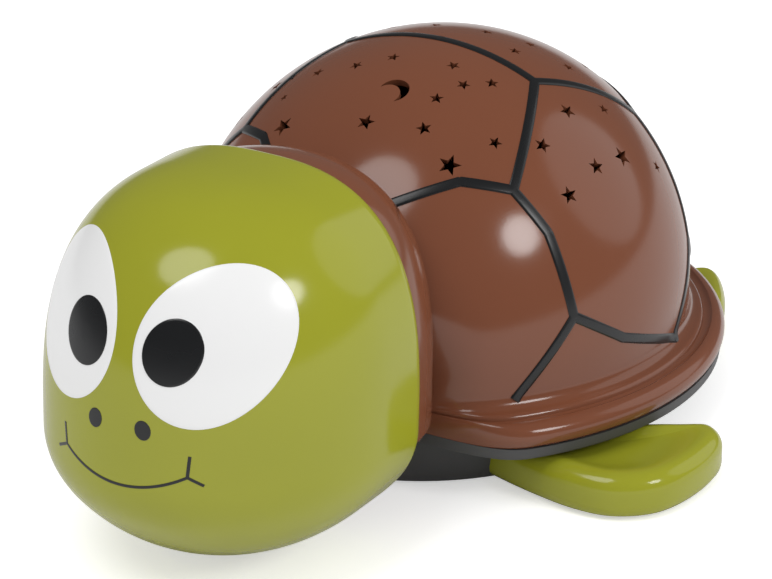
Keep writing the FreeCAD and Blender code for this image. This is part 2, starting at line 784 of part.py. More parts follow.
def root_frame(root, side):
    """Middle of the flipper root on the base wall and the way out of the base."""
    turn = math.radians(root)
    x = side * BASE * math.cos(turn)
    y = BASE * FACTOR * math.sin(turn)
    out = V(side * math.cos(turn), FACTOR * math.sin(turn), 0)
    out.normalize()
    return V(x, y, 0), out


def tongue(root, side, width, grow):
    """Flat tongue that runs from inside the base wall out into the paddle."""
    middle, out = root_frame(root, side)
    inward = BASE_WALL + size("tongue_depth") + grow
    outward = 9.0
    bar = Part.makeBox(inward + outward, width + 2 * grow, TONGUE_H + 2 * grow,
                       V(-inward, -width / 2.0 - grow, TONGUE_Z - grow))
    bar.rotate(V(0, 0, 0), V(0, 0, 1), math.degrees(math.atan2(out.y, out.x)))
    bar.translate(V(middle.x, middle.y, 0))
    return bar


FLIPPERS = (
    ("flipper_front_left", FRONT_OUTLINE, size("front_flipper_height"), FRONT_ROOT, 1, TONGUE_W),
    ("flipper_front_right", FRONT_OUTLINE, size("front_flipper_height"), FRONT_ROOT, -1, TONGUE_W),
    ("flipper_rear_left", REAR_OUTLINE, size("rear_flipper_height"), REAR_ROOT, 1, TONGUE_W - 4.0),
    ("flipper_rear_right", REAR_OUTLINE, size("rear_flipper_height"), REAR_ROOT, -1, TONGUE_W - 4.0),
)
slots = []
flipper_screws = []
flipper_pads = []
flipper_pilots = []
for label, outline, height, root, side, width in FLIPPERS:
    shape = flipper(outline, height, root, side, width)
    middle, out = root_frame(root, side)
    place = middle - out * (BASE_WALL + size("tongue_depth") - 3.6)
    shape = shape.cut(Part.makeCylinder(SCREW + 0.2, 20.0, V(place.x, place.y, 0)))
    keep_shape(label, shape)
    print(label, shape.isValid(), len(shape.Solids), shape.Volume, shape.BoundBox)
    slots.append(tongue(root, side, width, FIT))
    top = TONGUE_Z + TONGUE_H
    head = Part.makeCylinder(SCREW_HEAD, SCREW_HEAD_H, V(place.x, place.y, top))
    shank = Part.makeCylinder(SCREW, TONGUE_H + 2.2, V(place.x, place.y, top - TONGUE_H - 2.2))
    flipper_screws.append(head.fuse(shank).removeSplitter())
    flipper_pilots.append(Part.makeCylinder(SCREW, 20.0, V(place.x, place.y, top - TONGUE_H - 2.2)))
keep_shape("flipper_screws", Part.makeCompound(flipper_screws))
stamp("flippers")

# Feet, brim screws and the finished base housing
feet = []
sockets = []
FOOT_R = size("foot_pad_radius")
FOOT_PLACES = ((40.0, 42.0), (-40.0, 42.0), (42.0, -42.0), (-42.0, -42.0))
for x, y in FOOT_PLACES:
    feet.append(Part.makeCylinder(FOOT_R, UNDERSIDE + size("foot_pad_sunk"), V(x, y, 0)))
    sockets.append(Part.makeCylinder(FOOT_R, size("foot_pad_sunk"), V(x, y, UNDERSIDE)))
keep_shape("foot_pads", Part.makeCompound(feet))
brim_screws = []
flange_holes = []
for x, y in brim_screw_places():
    low = FLANGE_LOW + 0.0
    sink = SCREW_HEAD_H
    head = Part.makeCylinder(SCREW_HEAD, SCREW_HEAD_H, V(x, y, low))
    shank = Part.makeCylinder(SCREW, SEAM - low + 4.0, V(x, y, low))
    brim_screws.append(head.fuse(shank).removeSplitter())
    flange_holes.append(Part.makeCylinder(SCREW_HEAD + 0.15, sink, V(x, y, low)))
    flange_holes.append(Part.makeCylinder(SCREW + 0.2, 9.0, V(x, y, low - 2.0)))
keep_shape("brim_screws", tilt(Part.makeCompound(brim_screws)))

# Slide switch in the underside
SWITCH_X = 40.0
SWITCH_Y = -8.0
KNOB = size("switch_knob_width")
TRAVEL = size("switch_travel")
switch_dish = Part.makeBox(TRAVEL + KNOB + 6.0, KNOB + 5.0, 1.2,
                           V(SWITCH_X - (TRAVEL + KNOB) / 2 - 3.0, SWITCH_Y - KNOB / 2 - 2.5, UNDERSIDE))
switch_slot = Part.makeBox(TRAVEL + KNOB + 0.6, KNOB + 0.3, FLOOR + 1.0,
                           V(SWITCH_X - (TRAVEL + KNOB) / 2 - 0.3, SWITCH_Y - KNOB / 2 - 0.15, UNDERSIDE - 0.5))
housing = housing.fuse([bay_outer, screw_boss] + posts)
housing = housing.cut([bay_inner, door_hole, lug_hole, pin_hole, screw_bore, switch_dish, switch_slot]
                      + post_holes + slots + sockets + flipper_pilots)
housing = housing.cut([tilt(item) for item in flange_holes])
housing = max(housing.removeSplitter().Solids, key=lambda piece: piece.Volume)
keep_shape("base_housing", housing)
stamp("base done")

# Inner pieces made from primitives whose sizes follow the sheet
def bind(obj, **sizes):
    """Bind properties of a primitive to sheet expressions or plain numbers."""
    for key, value in sizes.items():
        if isinstance(value, str):
            obj.setExpression(key, value)
        else:
            setattr(obj, key, value)
    return obj


def rod(radius, length, place, axis=V(0, 0, 1)):
    """Cylinder bound to the sheet, from a place along an axis."""
    obj = bind(doc.addObject("Part::Cylinder", "Rod"), Radius=radius, Height=length)
    obj.Placement = FreeCAD.Placement(place, FreeCAD.Rotation(V(0, 0, 1), axis))
    return obj


def block(length, width, height, place):
    """Box bound to the sheet, from its low corner."""
    obj = bind(doc.addObject("Part::Box", "Block"), Length=length, Width=width, Height=height)
    obj.Placement = FreeCAD.Placement(place, FreeCAD.Rotation())
    return obj


def fused(objects):
    """Join primitives into one solid object."""
    if len(objects) == 1:
        return objects[0]
    obj = doc.addObject("Part::MultiFuse", "Join")
    obj.Shapes = objects
    obj.Refine = True
    return obj


def minus(base, tools):
    """Cut primitives out of an object."""
    obj = doc.addObject("Part::Cut", "Cut")
    obj.Base = base
    obj.Tool = fused(tools)
    return obj


def group(objects):
    """Gather separate solids of one kind in one node."""
    obj = doc.addObject("Part::Compound", "Group")
    obj.Links = objects
    return obj


# Cells, contact plates and springs
CELL_Z = FLOOR_TOP + CELL_R + 0.3
cells = []
springs = []
plates = []
COILS = 5
WIRE = 0.45
for i in range(3):
    x = (i - 1) * PITCH
    way = 1 if i % 2 == 0 else -1
    tail = BAY_Y0 + CONTACT + SPRING_L if way > 0 else BAY_Y1 - CONTACT - SPRING_L
    axis = V(0, way, 0)
    can = rod("Sizes.cell_diameter / 2", "Sizes.cell_length", V(x, tail, CELL_Z), axis)
    nub = rod("Sizes.nub_diameter / 2", "Sizes.nub_length", V(x, tail + way * size("cell_length"), CELL_Z), axis)
    cells.append(fused([can, nub]))
    helix = Part.makeHelix((SPRING_L - 2 * WIRE) / COILS, SPRING_L - 2 * WIRE, 3.6)
    profile = Part.Wire([Part.makeCircle(WIRE, V(3.6, 0, 0), V(0, 1, 0))])
    coil = Part.Wire(helix.Edges).makePipeShell([profile], True, True)
    coil.rotate(V(0, 0, 0), V(1, 0, 0), -90 * way)
    coil.translate(V(x, tail - way * (SPRING_L - WIRE), CELL_Z))
    springs.append(coil)
for low_y, pairs in ((BAY_Y0 + 0.05, ((-1, -1), (0, 1))), (BAY_Y1 - CONTACT - 0.05, ((-1, 0), (1, 1)))):
    for first, last in pairs:
        wide = (last - first) * PITCH + 10.0
        place = V(first * PITCH - 5.0, low_y, CELL_Z - 5.0)
        plates.append(block(wide, "Sizes.contact_thick", 10.0, place))
keep("battery_cells", group(cells))
keep_shape("contact_springs", Part.makeCompound(springs))
keep("contact_plates", group(plates))

# Battery door on its pins, with the captive screw
door_plate = slab(DOOR_W, BAY_Y0 - MARGIN, HINGE_Y, DOOR_LOW, DOOR_LOW + DOOR)
door_edge = Part.makeCylinder(DOOR / 2.0, DOOR_W, V(-DOOR_W / 2.0, HINGE_Y, HINGE_Z), V(1, 0, 0))
door_pin = Part.makeCylinder(PIN_R, DOOR_W + 4.4, V(-DOOR_W / 2.0 - 2.2, HINGE_Y, HINGE_Z), V(1, 0, 0))
door_lug = slab(LUG_W, LUG_Y - LUG_L / 2.0, BAY_Y0 - MARGIN + 1.0, DOOR_LOW, DOOR_LOW + DOOR)
door = merge([door_plate, door_edge, door_pin, door_lug])
door = door.cut(Part.makeCylinder(SCREW + 0.1, 20.0, V(0, LUG_Y, 0)))
door = door.cut(Part.makeCylinder(SCREW_HEAD + 0.1, 1.2, V(0, LUG_Y, DOOR_LOW - 0.1)))
for i in range(5):
    door = door.cut(Part.makeBox(16.0, 1.0, 0.5, V(-8.0, BAY_Y0 + 8.0 + 2.4 * i, DOOR_LOW)))
keep_shape("battery_door", door)
screw_head = Part.makeCylinder(SCREW_HEAD, 1.0, V(0, LUG_Y, DOOR_LOW + 0.05))
screw_shank = Part.makeCylinder(SCREW, DOOR + 3.0, V(0, LUG_Y, DOOR_LOW + 0.05))
door_screw = merge([screw_head, screw_shank])
door_screw = door_screw.cut(Part.makeBox(4.0, 0.7, 0.5, V(-2.0, LUG_Y - 0.35, DOOR_LOW)))
door_screw = door_screw.cut(Part.makeBox(0.7, 4.0, 0.5, V(-0.35, LUG_Y - 2.0, DOOR_LOW)))
keep_shape("door_screw", door_screw)

# Main board on the battery bay, and the upright lamp board at the dome axis
BOARD = size("board_thick")
BOARD_W = BAY_W + 3.0
board = block(BOARD_W, BAY_L, "Sizes.board_thick", V(-BOARD_W / 2.0, BAY_Y0, BOARD_Z))
board_cuts = []
for x, y in BOARD_SCREWS:
    board_cuts.append(rod(1.1, 6.0, V(x, y, BOARD_Z - 2.0)))
LAMP_Z = size("lamp_height")
post_slot = block(14.4, 1.8, 6.0, V(-7.2, -0.9, BOARD_Z - 2.0))
board_cuts.append(post_slot)
keep("main_board", minus(board, board_cuts))
board_screws = []
for x, y in BOARD_SCREWS:
    top = BOARD_Z + BOARD
    screw_top = rod(1.9, 1.2, V(x, y, top))
    screw_body = rod(0.9, BOARD + 2.4, V(x, y, top - BOARD - 2.4))
    board_screws.append(fused([screw_top, screw_body]))
keep("board_screws", group(board_screws))
lamp_board = block(14.0, 1.4, LAMP_Z - BOARD_Z, V(-7.0, -0.7, BOARD_Z))
keep("lamp_board", lamp_board)
lamps = []
for x in (-4.6, 0.0, 4.6):
    body = rod(2.1, 3.4, V(x, 0, LAMP_Z))
    ball = bind(doc.addObject("Part::Sphere", "Lens"), Radius=2.1, Angle1=0.0, Angle2=90.0)
    ball.Placement = FreeCAD.Placement(V(x, 0, LAMP_Z + 3.4), FreeCAD.Rotation())
    lamps.append(fused([body, ball]))
keep("lamps", group(lamps))
timer_chip = block(9.0, 6.0, 1.6, V(-16.0, -20.0, BOARD_Z + BOARD))
crystal = block(7.0, 3.6, 2.4, V(6.0, -18.0, BOARD_Z + BOARD))
keep("board_chips", group([timer_chip, crystal]))

# Rear push button over its snap switch
button_board = Part.makeBox(16.0, 9.2, 1.2, V(-8.0, BUTTON_Y - 7.0, SEAM + 0.05))
BUTTON_FOOT = BUTTON_SEAT - 1.25
switch_top = BUTTON_FOOT - size("button_travel") - 0.05
switch_case = Part.makeBox(6.0, 6.0, switch_top - SEAM - 1.75, V(-3.0, BUTTON_Y - 3.0, SEAM + 1.25))
switch_stem = Part.makeCylinder(1.75, 0.6, V(0, BUTTON_Y, switch_top - 0.6))
button_cap = Part.makeCylinder(BUTTON, BUTTON_TOP + size("button_proud") - BUTTON_FOOT, V(0, BUTTON_Y, BUTTON_FOOT))
crown_edges = [edge for edge in button_cap.Edges if edge.Closed and edge.BoundBox.ZMin > BUTTON_TOP]
button_cap = button_cap.makeFillet(1.0, crown_edges)
button_rim = Part.makeCylinder(BUTTON + 0.9, 1.2, V(0, BUTTON_Y, BUTTON_FOOT))
keep_shape("button_board", tilt(button_board))
keep_shape("snap_switch", tilt(merge([switch_case, switch_stem])))
keep_shape("mode_button", tilt(merge([button_cap, button_rim])))

# Slide switch body and its knob
case_z = FLOOR_TOP
case_x = SWITCH_X - (TRAVEL + KNOB) / 2 - 2.0
case_l = TRAVEL + KNOB + 4.0
case = Part.makeBox(case_l, 7.0, 5.0, V(case_x, SWITCH_Y - 3.5, case_z))
track = Part.makeBox(TRAVEL + KNOB + 0.4, KNOB + 0.3, 3.0,
                     V(SWITCH_X - (TRAVEL + KNOB) / 2 - 0.2, SWITCH_Y - KNOB / 2 - 0.15, case_z - 0.1))
keep_shape("power_switch", case.cut(track))
knob_x = SWITCH_X - (TRAVEL + KNOB) / 2
knob = Part.makeBox(KNOB, KNOB, case_z + 2.7 - UNDERSIDE - 0.3, V(knob_x, SWITCH_Y - KNOB / 2, UNDERSIDE + 0.3))
for i in range(3):
    knob = knob.cut(Part.makeBox(0.4, KNOB, 0.4, V(knob_x + 0.7 + 0.9 * i, SWITCH_Y - KNOB / 2, UNDERSIDE + 0.3)))
keep_shape("switch_knob", knob)

# Every node moves together so that the origin is the middle of the footprint
REAR_END = (DOME + size("lip_reach") + size("lip_round")) * FACTOR
TURN = math.radians(size("shell_tilt"))
FRONT_END = (HEAD_Y - size("head_reach")) * math.cos(TURN) + (size("head_crease") - SEAM) * math.sin(TURN)
SHIFT = -(REAR_END + FRONT_END) / 2.0
doc.recompute()
for obj in NODES:
    obj.Placement = FreeCAD.Placement(V(0, SHIFT, 0), FreeCAD.Rotation()).multiply(obj.Placement)
print("shift", SHIFT)
print("hinge", HINGE_Y + SHIFT, HINGE_Z, "lug", LUG_Y + SHIFT, "button", BUTTON_Y, BUTTON_TOP)
doc.recompute()
for obj in doc.Objects:
    if "Invalid" in obj.State or "Error" in obj.State:
        raise RuntimeError("object failed: " + obj.Label)
for obj in NODES:
    if obj.Shape.isNull() or not obj.Shape.isValid():
        raise RuntimeError("shape failed: " + obj.Label)
for obj in NODES:
    obj.Shape.exportStep("parts/%s.step" % obj.Label)
    print(obj.Label, len(obj.Shape.Solids), len(obj.Shape.Faces), round(obj.Shape.Volume))
stamp("written")
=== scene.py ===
"""Looks of the turtle night light: shell, head, face, flippers, base and studio."""
import json
import logging
import math
from dataclasses import dataclass, field
from enum import Enum

import bmesh
import bpy
from mathutils import Matrix, Vector


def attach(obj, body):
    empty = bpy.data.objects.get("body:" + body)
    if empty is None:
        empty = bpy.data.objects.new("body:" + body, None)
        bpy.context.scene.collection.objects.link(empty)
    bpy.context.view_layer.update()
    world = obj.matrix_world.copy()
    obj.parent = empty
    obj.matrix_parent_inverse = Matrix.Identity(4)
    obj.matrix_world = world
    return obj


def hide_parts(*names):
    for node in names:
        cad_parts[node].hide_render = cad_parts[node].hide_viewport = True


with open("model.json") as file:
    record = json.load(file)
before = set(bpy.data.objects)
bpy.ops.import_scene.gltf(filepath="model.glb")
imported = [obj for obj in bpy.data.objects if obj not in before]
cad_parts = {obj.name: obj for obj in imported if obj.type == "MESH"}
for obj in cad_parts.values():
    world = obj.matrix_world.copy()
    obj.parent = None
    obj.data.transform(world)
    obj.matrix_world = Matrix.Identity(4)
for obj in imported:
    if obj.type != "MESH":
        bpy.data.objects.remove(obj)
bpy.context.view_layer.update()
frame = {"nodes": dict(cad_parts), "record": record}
LOG = logging.getLogger("turtle_light")
MM = 0.001
WHITE = (1.0, 1.0, 1.0, 1.0)
# Distances in millimetres within which points of a mesh count as one
WELD = 0.002
FINE_WELD = 0.001
CUT_SLACK = 0.0001


class Side(Enum):
    """Sides of the turtle, as the sign of X."""

    LEFT = 1
    RIGHT = -1


@dataclass(frozen=True)
class Pose:
    """How the level upper part sits in the frame, in millimetres and degrees."""

    seam: float = 17.0
    tilt: float = 2.3
    shift: float = 36.889

    def matrix(self) -> Matrix:
        """Return the transform from the level part to the frame in metres."""
        pivot = Matrix.Translation((0.0, 0.0, self.seam))
        turn = Matrix.Rotation(math.radians(-self.tilt), 4, "X")
        raised = pivot @ turn @ pivot.inverted()
        return Matrix.Scale(MM, 4) @ Matrix.Translation((0.0, self.shift, 0.0)) @ raised

    def flat(self) -> Matrix:
        """Return the transform for pieces that stand level on the table."""
        return Matrix.Scale(MM, 4) @ Matrix.Translation((0.0, self.shift, 0.0))


POSE = Pose()


def srgb(red: int, green: int, blue: int) -> tuple[float, float, float, float]:
    """Turn a colour in 0 to 255 steps into linear values.

    Args:
        red: Red step.
        green: Green step.
        blue: Blue step.

    Returns:
        Linear red, green, blue and an alpha of one.
    """
    values = []
    for step in (red, green, blue):
        part = step / 255.0
        values.append(part / 12.92 if part <= 0.04045 else ((part + 0.055) / 1.055) ** 2.4)
    return (values[0], values[1], values[2], 1.0)


def new_group(name: str, inputs: dict[str, tuple[str, object]], outputs: dict[str, str]) -> bpy.types.NodeTree:
    """Create an empty shader group with named sockets.

    Args:
        name: Name of the group.
        inputs: Socket names with their type and default.
        outputs: Socket names with their type.

    Returns:
        The new node tree, with its input and output nodes.
    """
    tree = bpy.data.node_groups.new(name, "ShaderNodeTree")
    for label, (kind, value) in inputs.items():
        socket = tree.interface.new_socket(name=label, in_out="INPUT", socket_type=kind)
        socket.default_value = value
    for label, kind in outputs.items():
        tree.interface.new_socket(name=label, in_out="OUTPUT", socket_type=kind)
    tree.nodes.new("NodeGroupInput").name = "in"
    tree.nodes.new("NodeGroupOutput").name = "out"
    return tree


def new_node(tree: bpy.types.NodeTree, kind: str, values: dict[str, object] | None = None,
             group: bpy.types.NodeTree | None = None) -> bpy.types.Node:
    """Add a shader node and set its inputs.

    Args:
        tree: Node tree that gets it.
        kind: Kind of shader node.
        values: Inputs with their values.
        group: Shared group that the node stands for.

    Returns:
        The new node.
    """
    node = tree.nodes.new("ShaderNode" + kind)
    if group is not None:
        node.node_tree = group
    for label, value in (values or {}).items():
        node.inputs[label].default_value = value
    return node


class SharedEffects:
    """Shader groups that several finishes use."""

    def __init__(self) -> None:
        """Build each group once."""
        self.grain = self._grain()
        self.tone = self._tone()

    def _grain(self) -> bpy.types.NodeTree:
        """Return the group for the skin of a moulded surface."""
        tree = new_group(
            "moulded_grain",
            {"Size": ("NodeSocketFloat", 500.0), "Depth": ("NodeSocketFloat", 0.1),
             "Roughness": ("NodeSocketFloat", 0.2), "Spread": ("NodeSocketFloat", 0.05)},
            {"Normal": "NodeSocketVector", "Roughness": "NodeSocketFloat"},
        )
        nodes, links = tree.nodes, tree.links
        place = new_node(tree, "TexCoord")
        fine = new_node(tree, "TexNoise", {"Detail": 3.0})
        broad = new_node(tree, "TexNoise", {"Scale": 45.0, "Detail": 4.0})
        bump = new_node(tree, "Bump", {"Distance": 0.0002})
        ramp = new_node(tree, "MapRange", {"From Min": 0.3, "From Max": 0.7})
        spread = new_node(tree, "Math")
        spread.operation = "ADD"
        links.new(place.outputs["Object"], fine.inputs["Vector"])
        links.new(place.outputs["Object"], broad.inputs["Vector"])
        links.new(nodes["in"].outputs["Size"], fine.inputs["Scale"])
        links.new(nodes["in"].outputs["Depth"], bump.inputs["Strength"])
        links.new(fine.outputs["Fac"], bump.inputs["Height"])
        links.new(broad.outputs["Fac"], ramp.inputs["Value"])
        links.new(nodes["in"].outputs["Roughness"], ramp.inputs["To Min"])
        links.new(nodes["in"].outputs["Roughness"], spread.inputs[0])
        links.new(nodes["in"].outputs["Spread"], spread.inputs[1])
        links.new(spread.outputs[0], ramp.inputs["To Max"])
        links.new(bump.outputs["Normal"], nodes["out"].inputs["Normal"])
        links.new(ramp.outputs["Result"], nodes["out"].inputs["Roughness"])
        return tree

    def _tone(self) -> bpy.types.NodeTree:
        """Return the group for a slight flow of tone in the plastic."""
        tree = new_group(
            "colour_flow",
            {"Colour": ("NodeSocketColor", (0.5, 0.5, 0.5, 1.0)), "Deep": ("NodeSocketColor", (0.4, 0.4, 0.4, 1.0)),
             "Scale": ("NodeSocketFloat", 18.0)},
            {"Colour": "NodeSocketColor"},
        )
        nodes, links = tree.nodes, tree.links
        place = new_node(tree, "TexCoord")
        cloud = new_node(tree, "TexNoise", {"Detail": 5.0})
        mask = new_node(tree, "MapRange", {"From Min": 0.35, "From Max": 0.75})
        mix = new_node(tree, "Mix")
        mix.data_type = "RGBA"
        links.new(place.outputs["Object"], cloud.inputs["Vector"])
        links.new(nodes["in"].outputs["Scale"], cloud.inputs["Scale"])
        links.new(cloud.outputs["Fac"], mask.inputs["Value"])
        links.new(mask.outputs["Result"], mix.inputs[0])
        links.new(nodes["in"].outputs["Colour"], mix.inputs[6])
        links.new(nodes["in"].outputs["Deep"], mix.inputs[7])
        links.new(mix.outputs[2], nodes["out"].inputs["Colour"])
        return tree


@dataclass(frozen=True)
class Finish:
    """One finish: its colour, how far the tone drifts, and its gloss."""

    name: str
    colour: tuple[float, float, float, float]
    drift: float = 0.9
    roughness: float = 0.2
    spread: float = 0.06
    grain_size: float = 700.0
    grain_depth: float = 0.04
    metallic: float = 0.0
    coat: float = 0.0
    coat_roughness: float = 0.08

    def build(self, shared: SharedEffects) -> bpy.types.Material:
        """Make the material.

        Args:
            shared: Shader groups that the finishes share.

        Returns:
            The new material.
        """
        material = bpy.data.materials.new(self.name)
        material.use_nodes = True
        tree = material.node_tree
        links = tree.links
        shader = tree.nodes["Principled BSDF"]
        deep = tuple(part * self.drift for part in self.colour[:3]) + (1.0,)
        tone = new_node(tree, "Group", {"Colour": self.colour, "Deep": deep}, shared.tone)
        skin = new_node(tree, "Group", {"Size": self.grain_size, "Depth": self.grain_depth,
                                        "Roughness": self.roughness, "Spread": self.spread}, shared.grain)
        links.new(tone.outputs["Colour"], shader.inputs["Base Color"])
        links.new(skin.outputs["Roughness"], shader.inputs["Roughness"])
        links.new(skin.outputs["Normal"], shader.inputs["Normal"])
        shader.inputs["Metallic"].default_value = self.metallic
        shader.inputs["Coat Weight"].default_value = self.coat
        shader.inputs["Coat Roughness"].default_value = self.coat_roughness
        return material


FINISHES = {
    "green_plastic": Finish("leaf_green_gloss", srgb(158, 160, 42), 0.94, 0.13, 0.03),
    "brown_plastic": Finish("cocoa_brown_gloss", srgb(124, 74, 52), 0.93, 0.13, 0.03),
    "black_plastic": Finish("ink_black_satin", srgb(25, 26, 28), 0.85, 0.25, 0.06),
    "white_plastic": Finish("eye_white_gloss", srgb(243, 243, 243), 0.98, 0.2, 0.04),
    "charcoal_plastic": Finish("charcoal_satin", srgb(74, 74, 75), 0.88, 0.42, 0.1, 900.0, 0.25),
    "rubber": Finish("pad_rubber", srgb(40, 40, 42), 0.8, 0.75, 0.1, 1500.0, 0.5),
    "steel": Finish("screw_steel", srgb(170, 170, 172), 0.8, 0.35, 0.15, 1200.0, 0.2, 1.0),
    "spring_steel": Finish("contact_nickel", srgb(190, 190, 188), 0.85, 0.22, 0.1, 1200.0, 0.1, 1.0),
    "cell_jacket": Finish("cell_sleeve", srgb(38, 44, 60), 0.85, 0.3, 0.08, coat=0.3),
    "board": Finish("board_green", srgb(24, 92, 52), 0.8, 0.45, 0.1, 1500.0, 0.2),
    "lamp_lens": Finish("lamp_epoxy", srgb(235, 236, 228), 0.95, 0.12, 0.03),
    "button_plastic": Finish("button_green", srgb(160, 163, 44), 0.93, 0.3, 0.06),
}


def finish_mesh(bm: bmesh.types.BMesh, name: str, node: str, body: str, place: Matrix,
                smooth: float = 35.0) -> bpy.types.Object:
    """Turn a bmesh in millimetres into a piece of the object.

    Args:
        bm: Closed mesh in millimetres, which is freed.
        name: Name of the piece.
        node: CAD node that it stands for.
        body: Body that it rides on.
        place: Transform into the frame.
        smooth: Largest angle in degrees between faces that shade as one.

    Returns:
        The linked object.
    """
    bmesh.ops.remove_doubles(bm, verts=bm.verts, dist=WELD)
    bmesh.ops.recalc_face_normals(bm, faces=bm.faces)
    bmesh.ops.transform(bm, matrix=place, verts=bm.verts)
    for face in bm.faces:
        face.smooth = True
    for edge in bm.edges:
        if len(edge.link_faces) == 2 and edge.calc_face_angle(0.0) > math.radians(smooth):
            edge.smooth = False
    mesh = bpy.data.meshes.new(name)
    bm.to_mesh(mesh)
    bm.free()
    piece = bpy.data.objects.new(name, mesh)
    bpy.context.scene.collection.objects.link(piece)
    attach(piece, body)
    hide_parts(node)
    return piece


def boolean(target: bpy.types.Object, tool: bpy.types.Object, kind: str) -> None:
    """Apply one exact boolean and drop its tool.

    Args:
        target: Object that changes.
        tool: Object that cuts or joins, which is deleted.
        kind: UNION, DIFFERENCE or INTERSECT.
    """
    step = target.modifiers.new("step", "BOOLEAN")
    step.operation = kind
    step.solver = "EXACT"
    step.object = tool
    shape = bpy.data.meshes.new_from_object(target.evaluated_get(bpy.context.evaluated_depsgraph_get()))
    target.modifiers.clear()
    old = target.data
    target.data = shape
    bpy.data.meshes.remove(old)
    bpy.data.objects.remove(tool)


@dataclass(frozen=True)
class FrontPress:
    """Soft flattening of the brim where it passes behind the head, in millimetres."""

    start: float = -60.0
    depth: float = 10.0

    def moved(self, y: float, share: float) -> float:
        """Return the new Y place of a point.

        Args:
            y: Y place in the level part.
            share: How much of the flattening the point takes, up to one.

        Returns:
            The new Y place.
        """
        if y >= self.start or share <= 0.0:
            return y
        over = self.start - y
        return y + share * (over - self.depth * (1.0 - math.exp(-over / self.depth)))

    def apply(self, bm: bmesh.types.BMesh, full: float = 30.0, none: float = 62.0) -> None:
        """Flatten the points of a mesh below a height.

        Args:
            bm: Mesh in the level part.
            full: Height up to which a point is flattened in full.
            none: Height from which it stays.
        """
        for vert in bm.verts:
            part = min(1.0, max(0.0, (none - vert.co.z) / (none - full)))
            vert.co.y = self.moved(vert.co.y, part * part * (3.0 - 2.0 * part))


PRESS = FrontPress()


def scratch(bm: bmesh.types.BMesh, name: str) -> bpy.types.Object:
    """Link a bmesh as a working object for a boolean."""
    bmesh.ops.remove_doubles(bm, verts=bm.verts, dist=WELD)
    bmesh.ops.recalc_face_normals(bm, faces=bm.faces)
    mesh = bpy.data.meshes.new(name)
    bm.to_mesh(mesh)
    bm.free()
    item = bpy.data.objects.new(name, mesh)
    bpy.context.scene.collection.objects.link(item)
    return item


def chain(bm: bmesh.types.BMesh, points: list[Vector], closed: bool = False) -> list[bmesh.types.BMEdge]:
    """Lay a line of edges through points.

    Args:
        bm: Mesh that gets the edges.
        points: Points in order.
        closed: Whether the last joins the first.

    Returns:
        The new edges.
    """
    verts = [bm.verts.new(point) for point in points]
    edges = [bm.edges.new(pair) for pair in zip(verts[:-1], verts[1:])]
    if closed:
        edges.append(bm.edges.new((verts[-1], verts[0])))
    return edges


def new_verts(grown: dict[str, list]) -> list[bmesh.types.BMVert]:
    """Return the points that an extrusion made."""
    return [item for item in grown["geom"] if isinstance(item, bmesh.types.BMVert)]


def new_rim(grown: dict[str, list]) -> list[bmesh.types.BMEdge]:
    """Return the open edges that an extrusion made."""
    return [item for item in grown["geom"] if isinstance(item, bmesh.types.BMEdge) and item.is_boundary]


def grow(bm: bmesh.types.BMesh, edges: list[bmesh.types.BMEdge],
         spots: list[Vector]) -> list[bmesh.types.BMEdge]:
    """Extrude a closed ring of edges to new places and return the new ring."""
    grown = bmesh.ops.extrude_edge_only(bm, edges=edges)
    for vert, spot in zip(new_verts(grown), spots):
        vert.co = spot
    return new_rim(grown)


def slice_off(bm: bmesh.types.BMesh, place: tuple[float, float, float],
              out: tuple[float, float, float]) -> list[bmesh.types.BMEdge]:
    """Cut away what lies beyond a plane and return the edges of the cut."""
    cut = bmesh.ops.bisect_plane(bm, geom=bm.verts[:] + bm.edges[:] + bm.faces[:], dist=CUT_SLACK,
                                 plane_co=place, plane_no=out, clear_outer=True)
    return [item for item in cut["geom_cut"] if isinstance(item, bmesh.types.BMEdge)]


def turned(points: list[Vector], angle: float, steps: int, merge: bool = False) -> bmesh.types.BMesh:
    """Turn an outline about the upright axis.

    Args:
        points: Outline points in order.
        angle: Angle of the turn in radians.
        steps: Number of parts in the turn.
        merge: Whether the last row joins the first.

    Returns:
        The new mesh.
    """
    bm = bmesh.new()
    edges = chain(bm, points)
    verts = list(bm.verts)
    bmesh.ops.spin(bm, geom=verts + edges, cent=(0, 0, 0), axis=(0, 0, 1), angle=angle, steps=steps,
                   use_merge=merge)
    bmesh.ops.remove_doubles(bm, verts=bm.verts, dist=FINE_WELD)
    return bm


def along_bend(first: Vector, pull: Vector, last: Vector, t: float) -> Vector:
    """Return the point at a share of the way along a soft bend."""
    return first * (1 - t) ** 2 + pull * (2 * t * (1 - t)) + last * t ** 2


def arc_points(centre: tuple[float, float], radius: float, start: float, finish: float,
               steps: int) -> list[Vector]:
    """Points of an arc in the plane of X and Z, in degrees."""
    points = []
    for i in range(steps + 1):
        turn = math.radians(start + (finish - start) * i / steps)
        points.append(Vector((centre[0] + radius * math.cos(turn), 0.0, centre[1] + radius * math.sin(turn))))
    return points


def rounded(points: list[Vector], index: int, radius: float, steps: int = 14) -> list[Vector]:
    """Round one corner of an outline with a soft bend.

    Args:
        points: Outline points.
        index: Corner to round.
        radius: Length that the bend takes from each side.
        steps: Number of parts in the bend.

    Returns:
        The outline with the bend in it.
    """
    corner = points[index]
    before = corner + (points[index - 1] - corner).normalized() * radius
    after = corner + (points[index + 1] - corner).normalized() * radius
    bend = [along_bend(before, corner, after, i / steps) for i in range(steps + 1)]
    return points[:index] + bend + points[index + 1:]


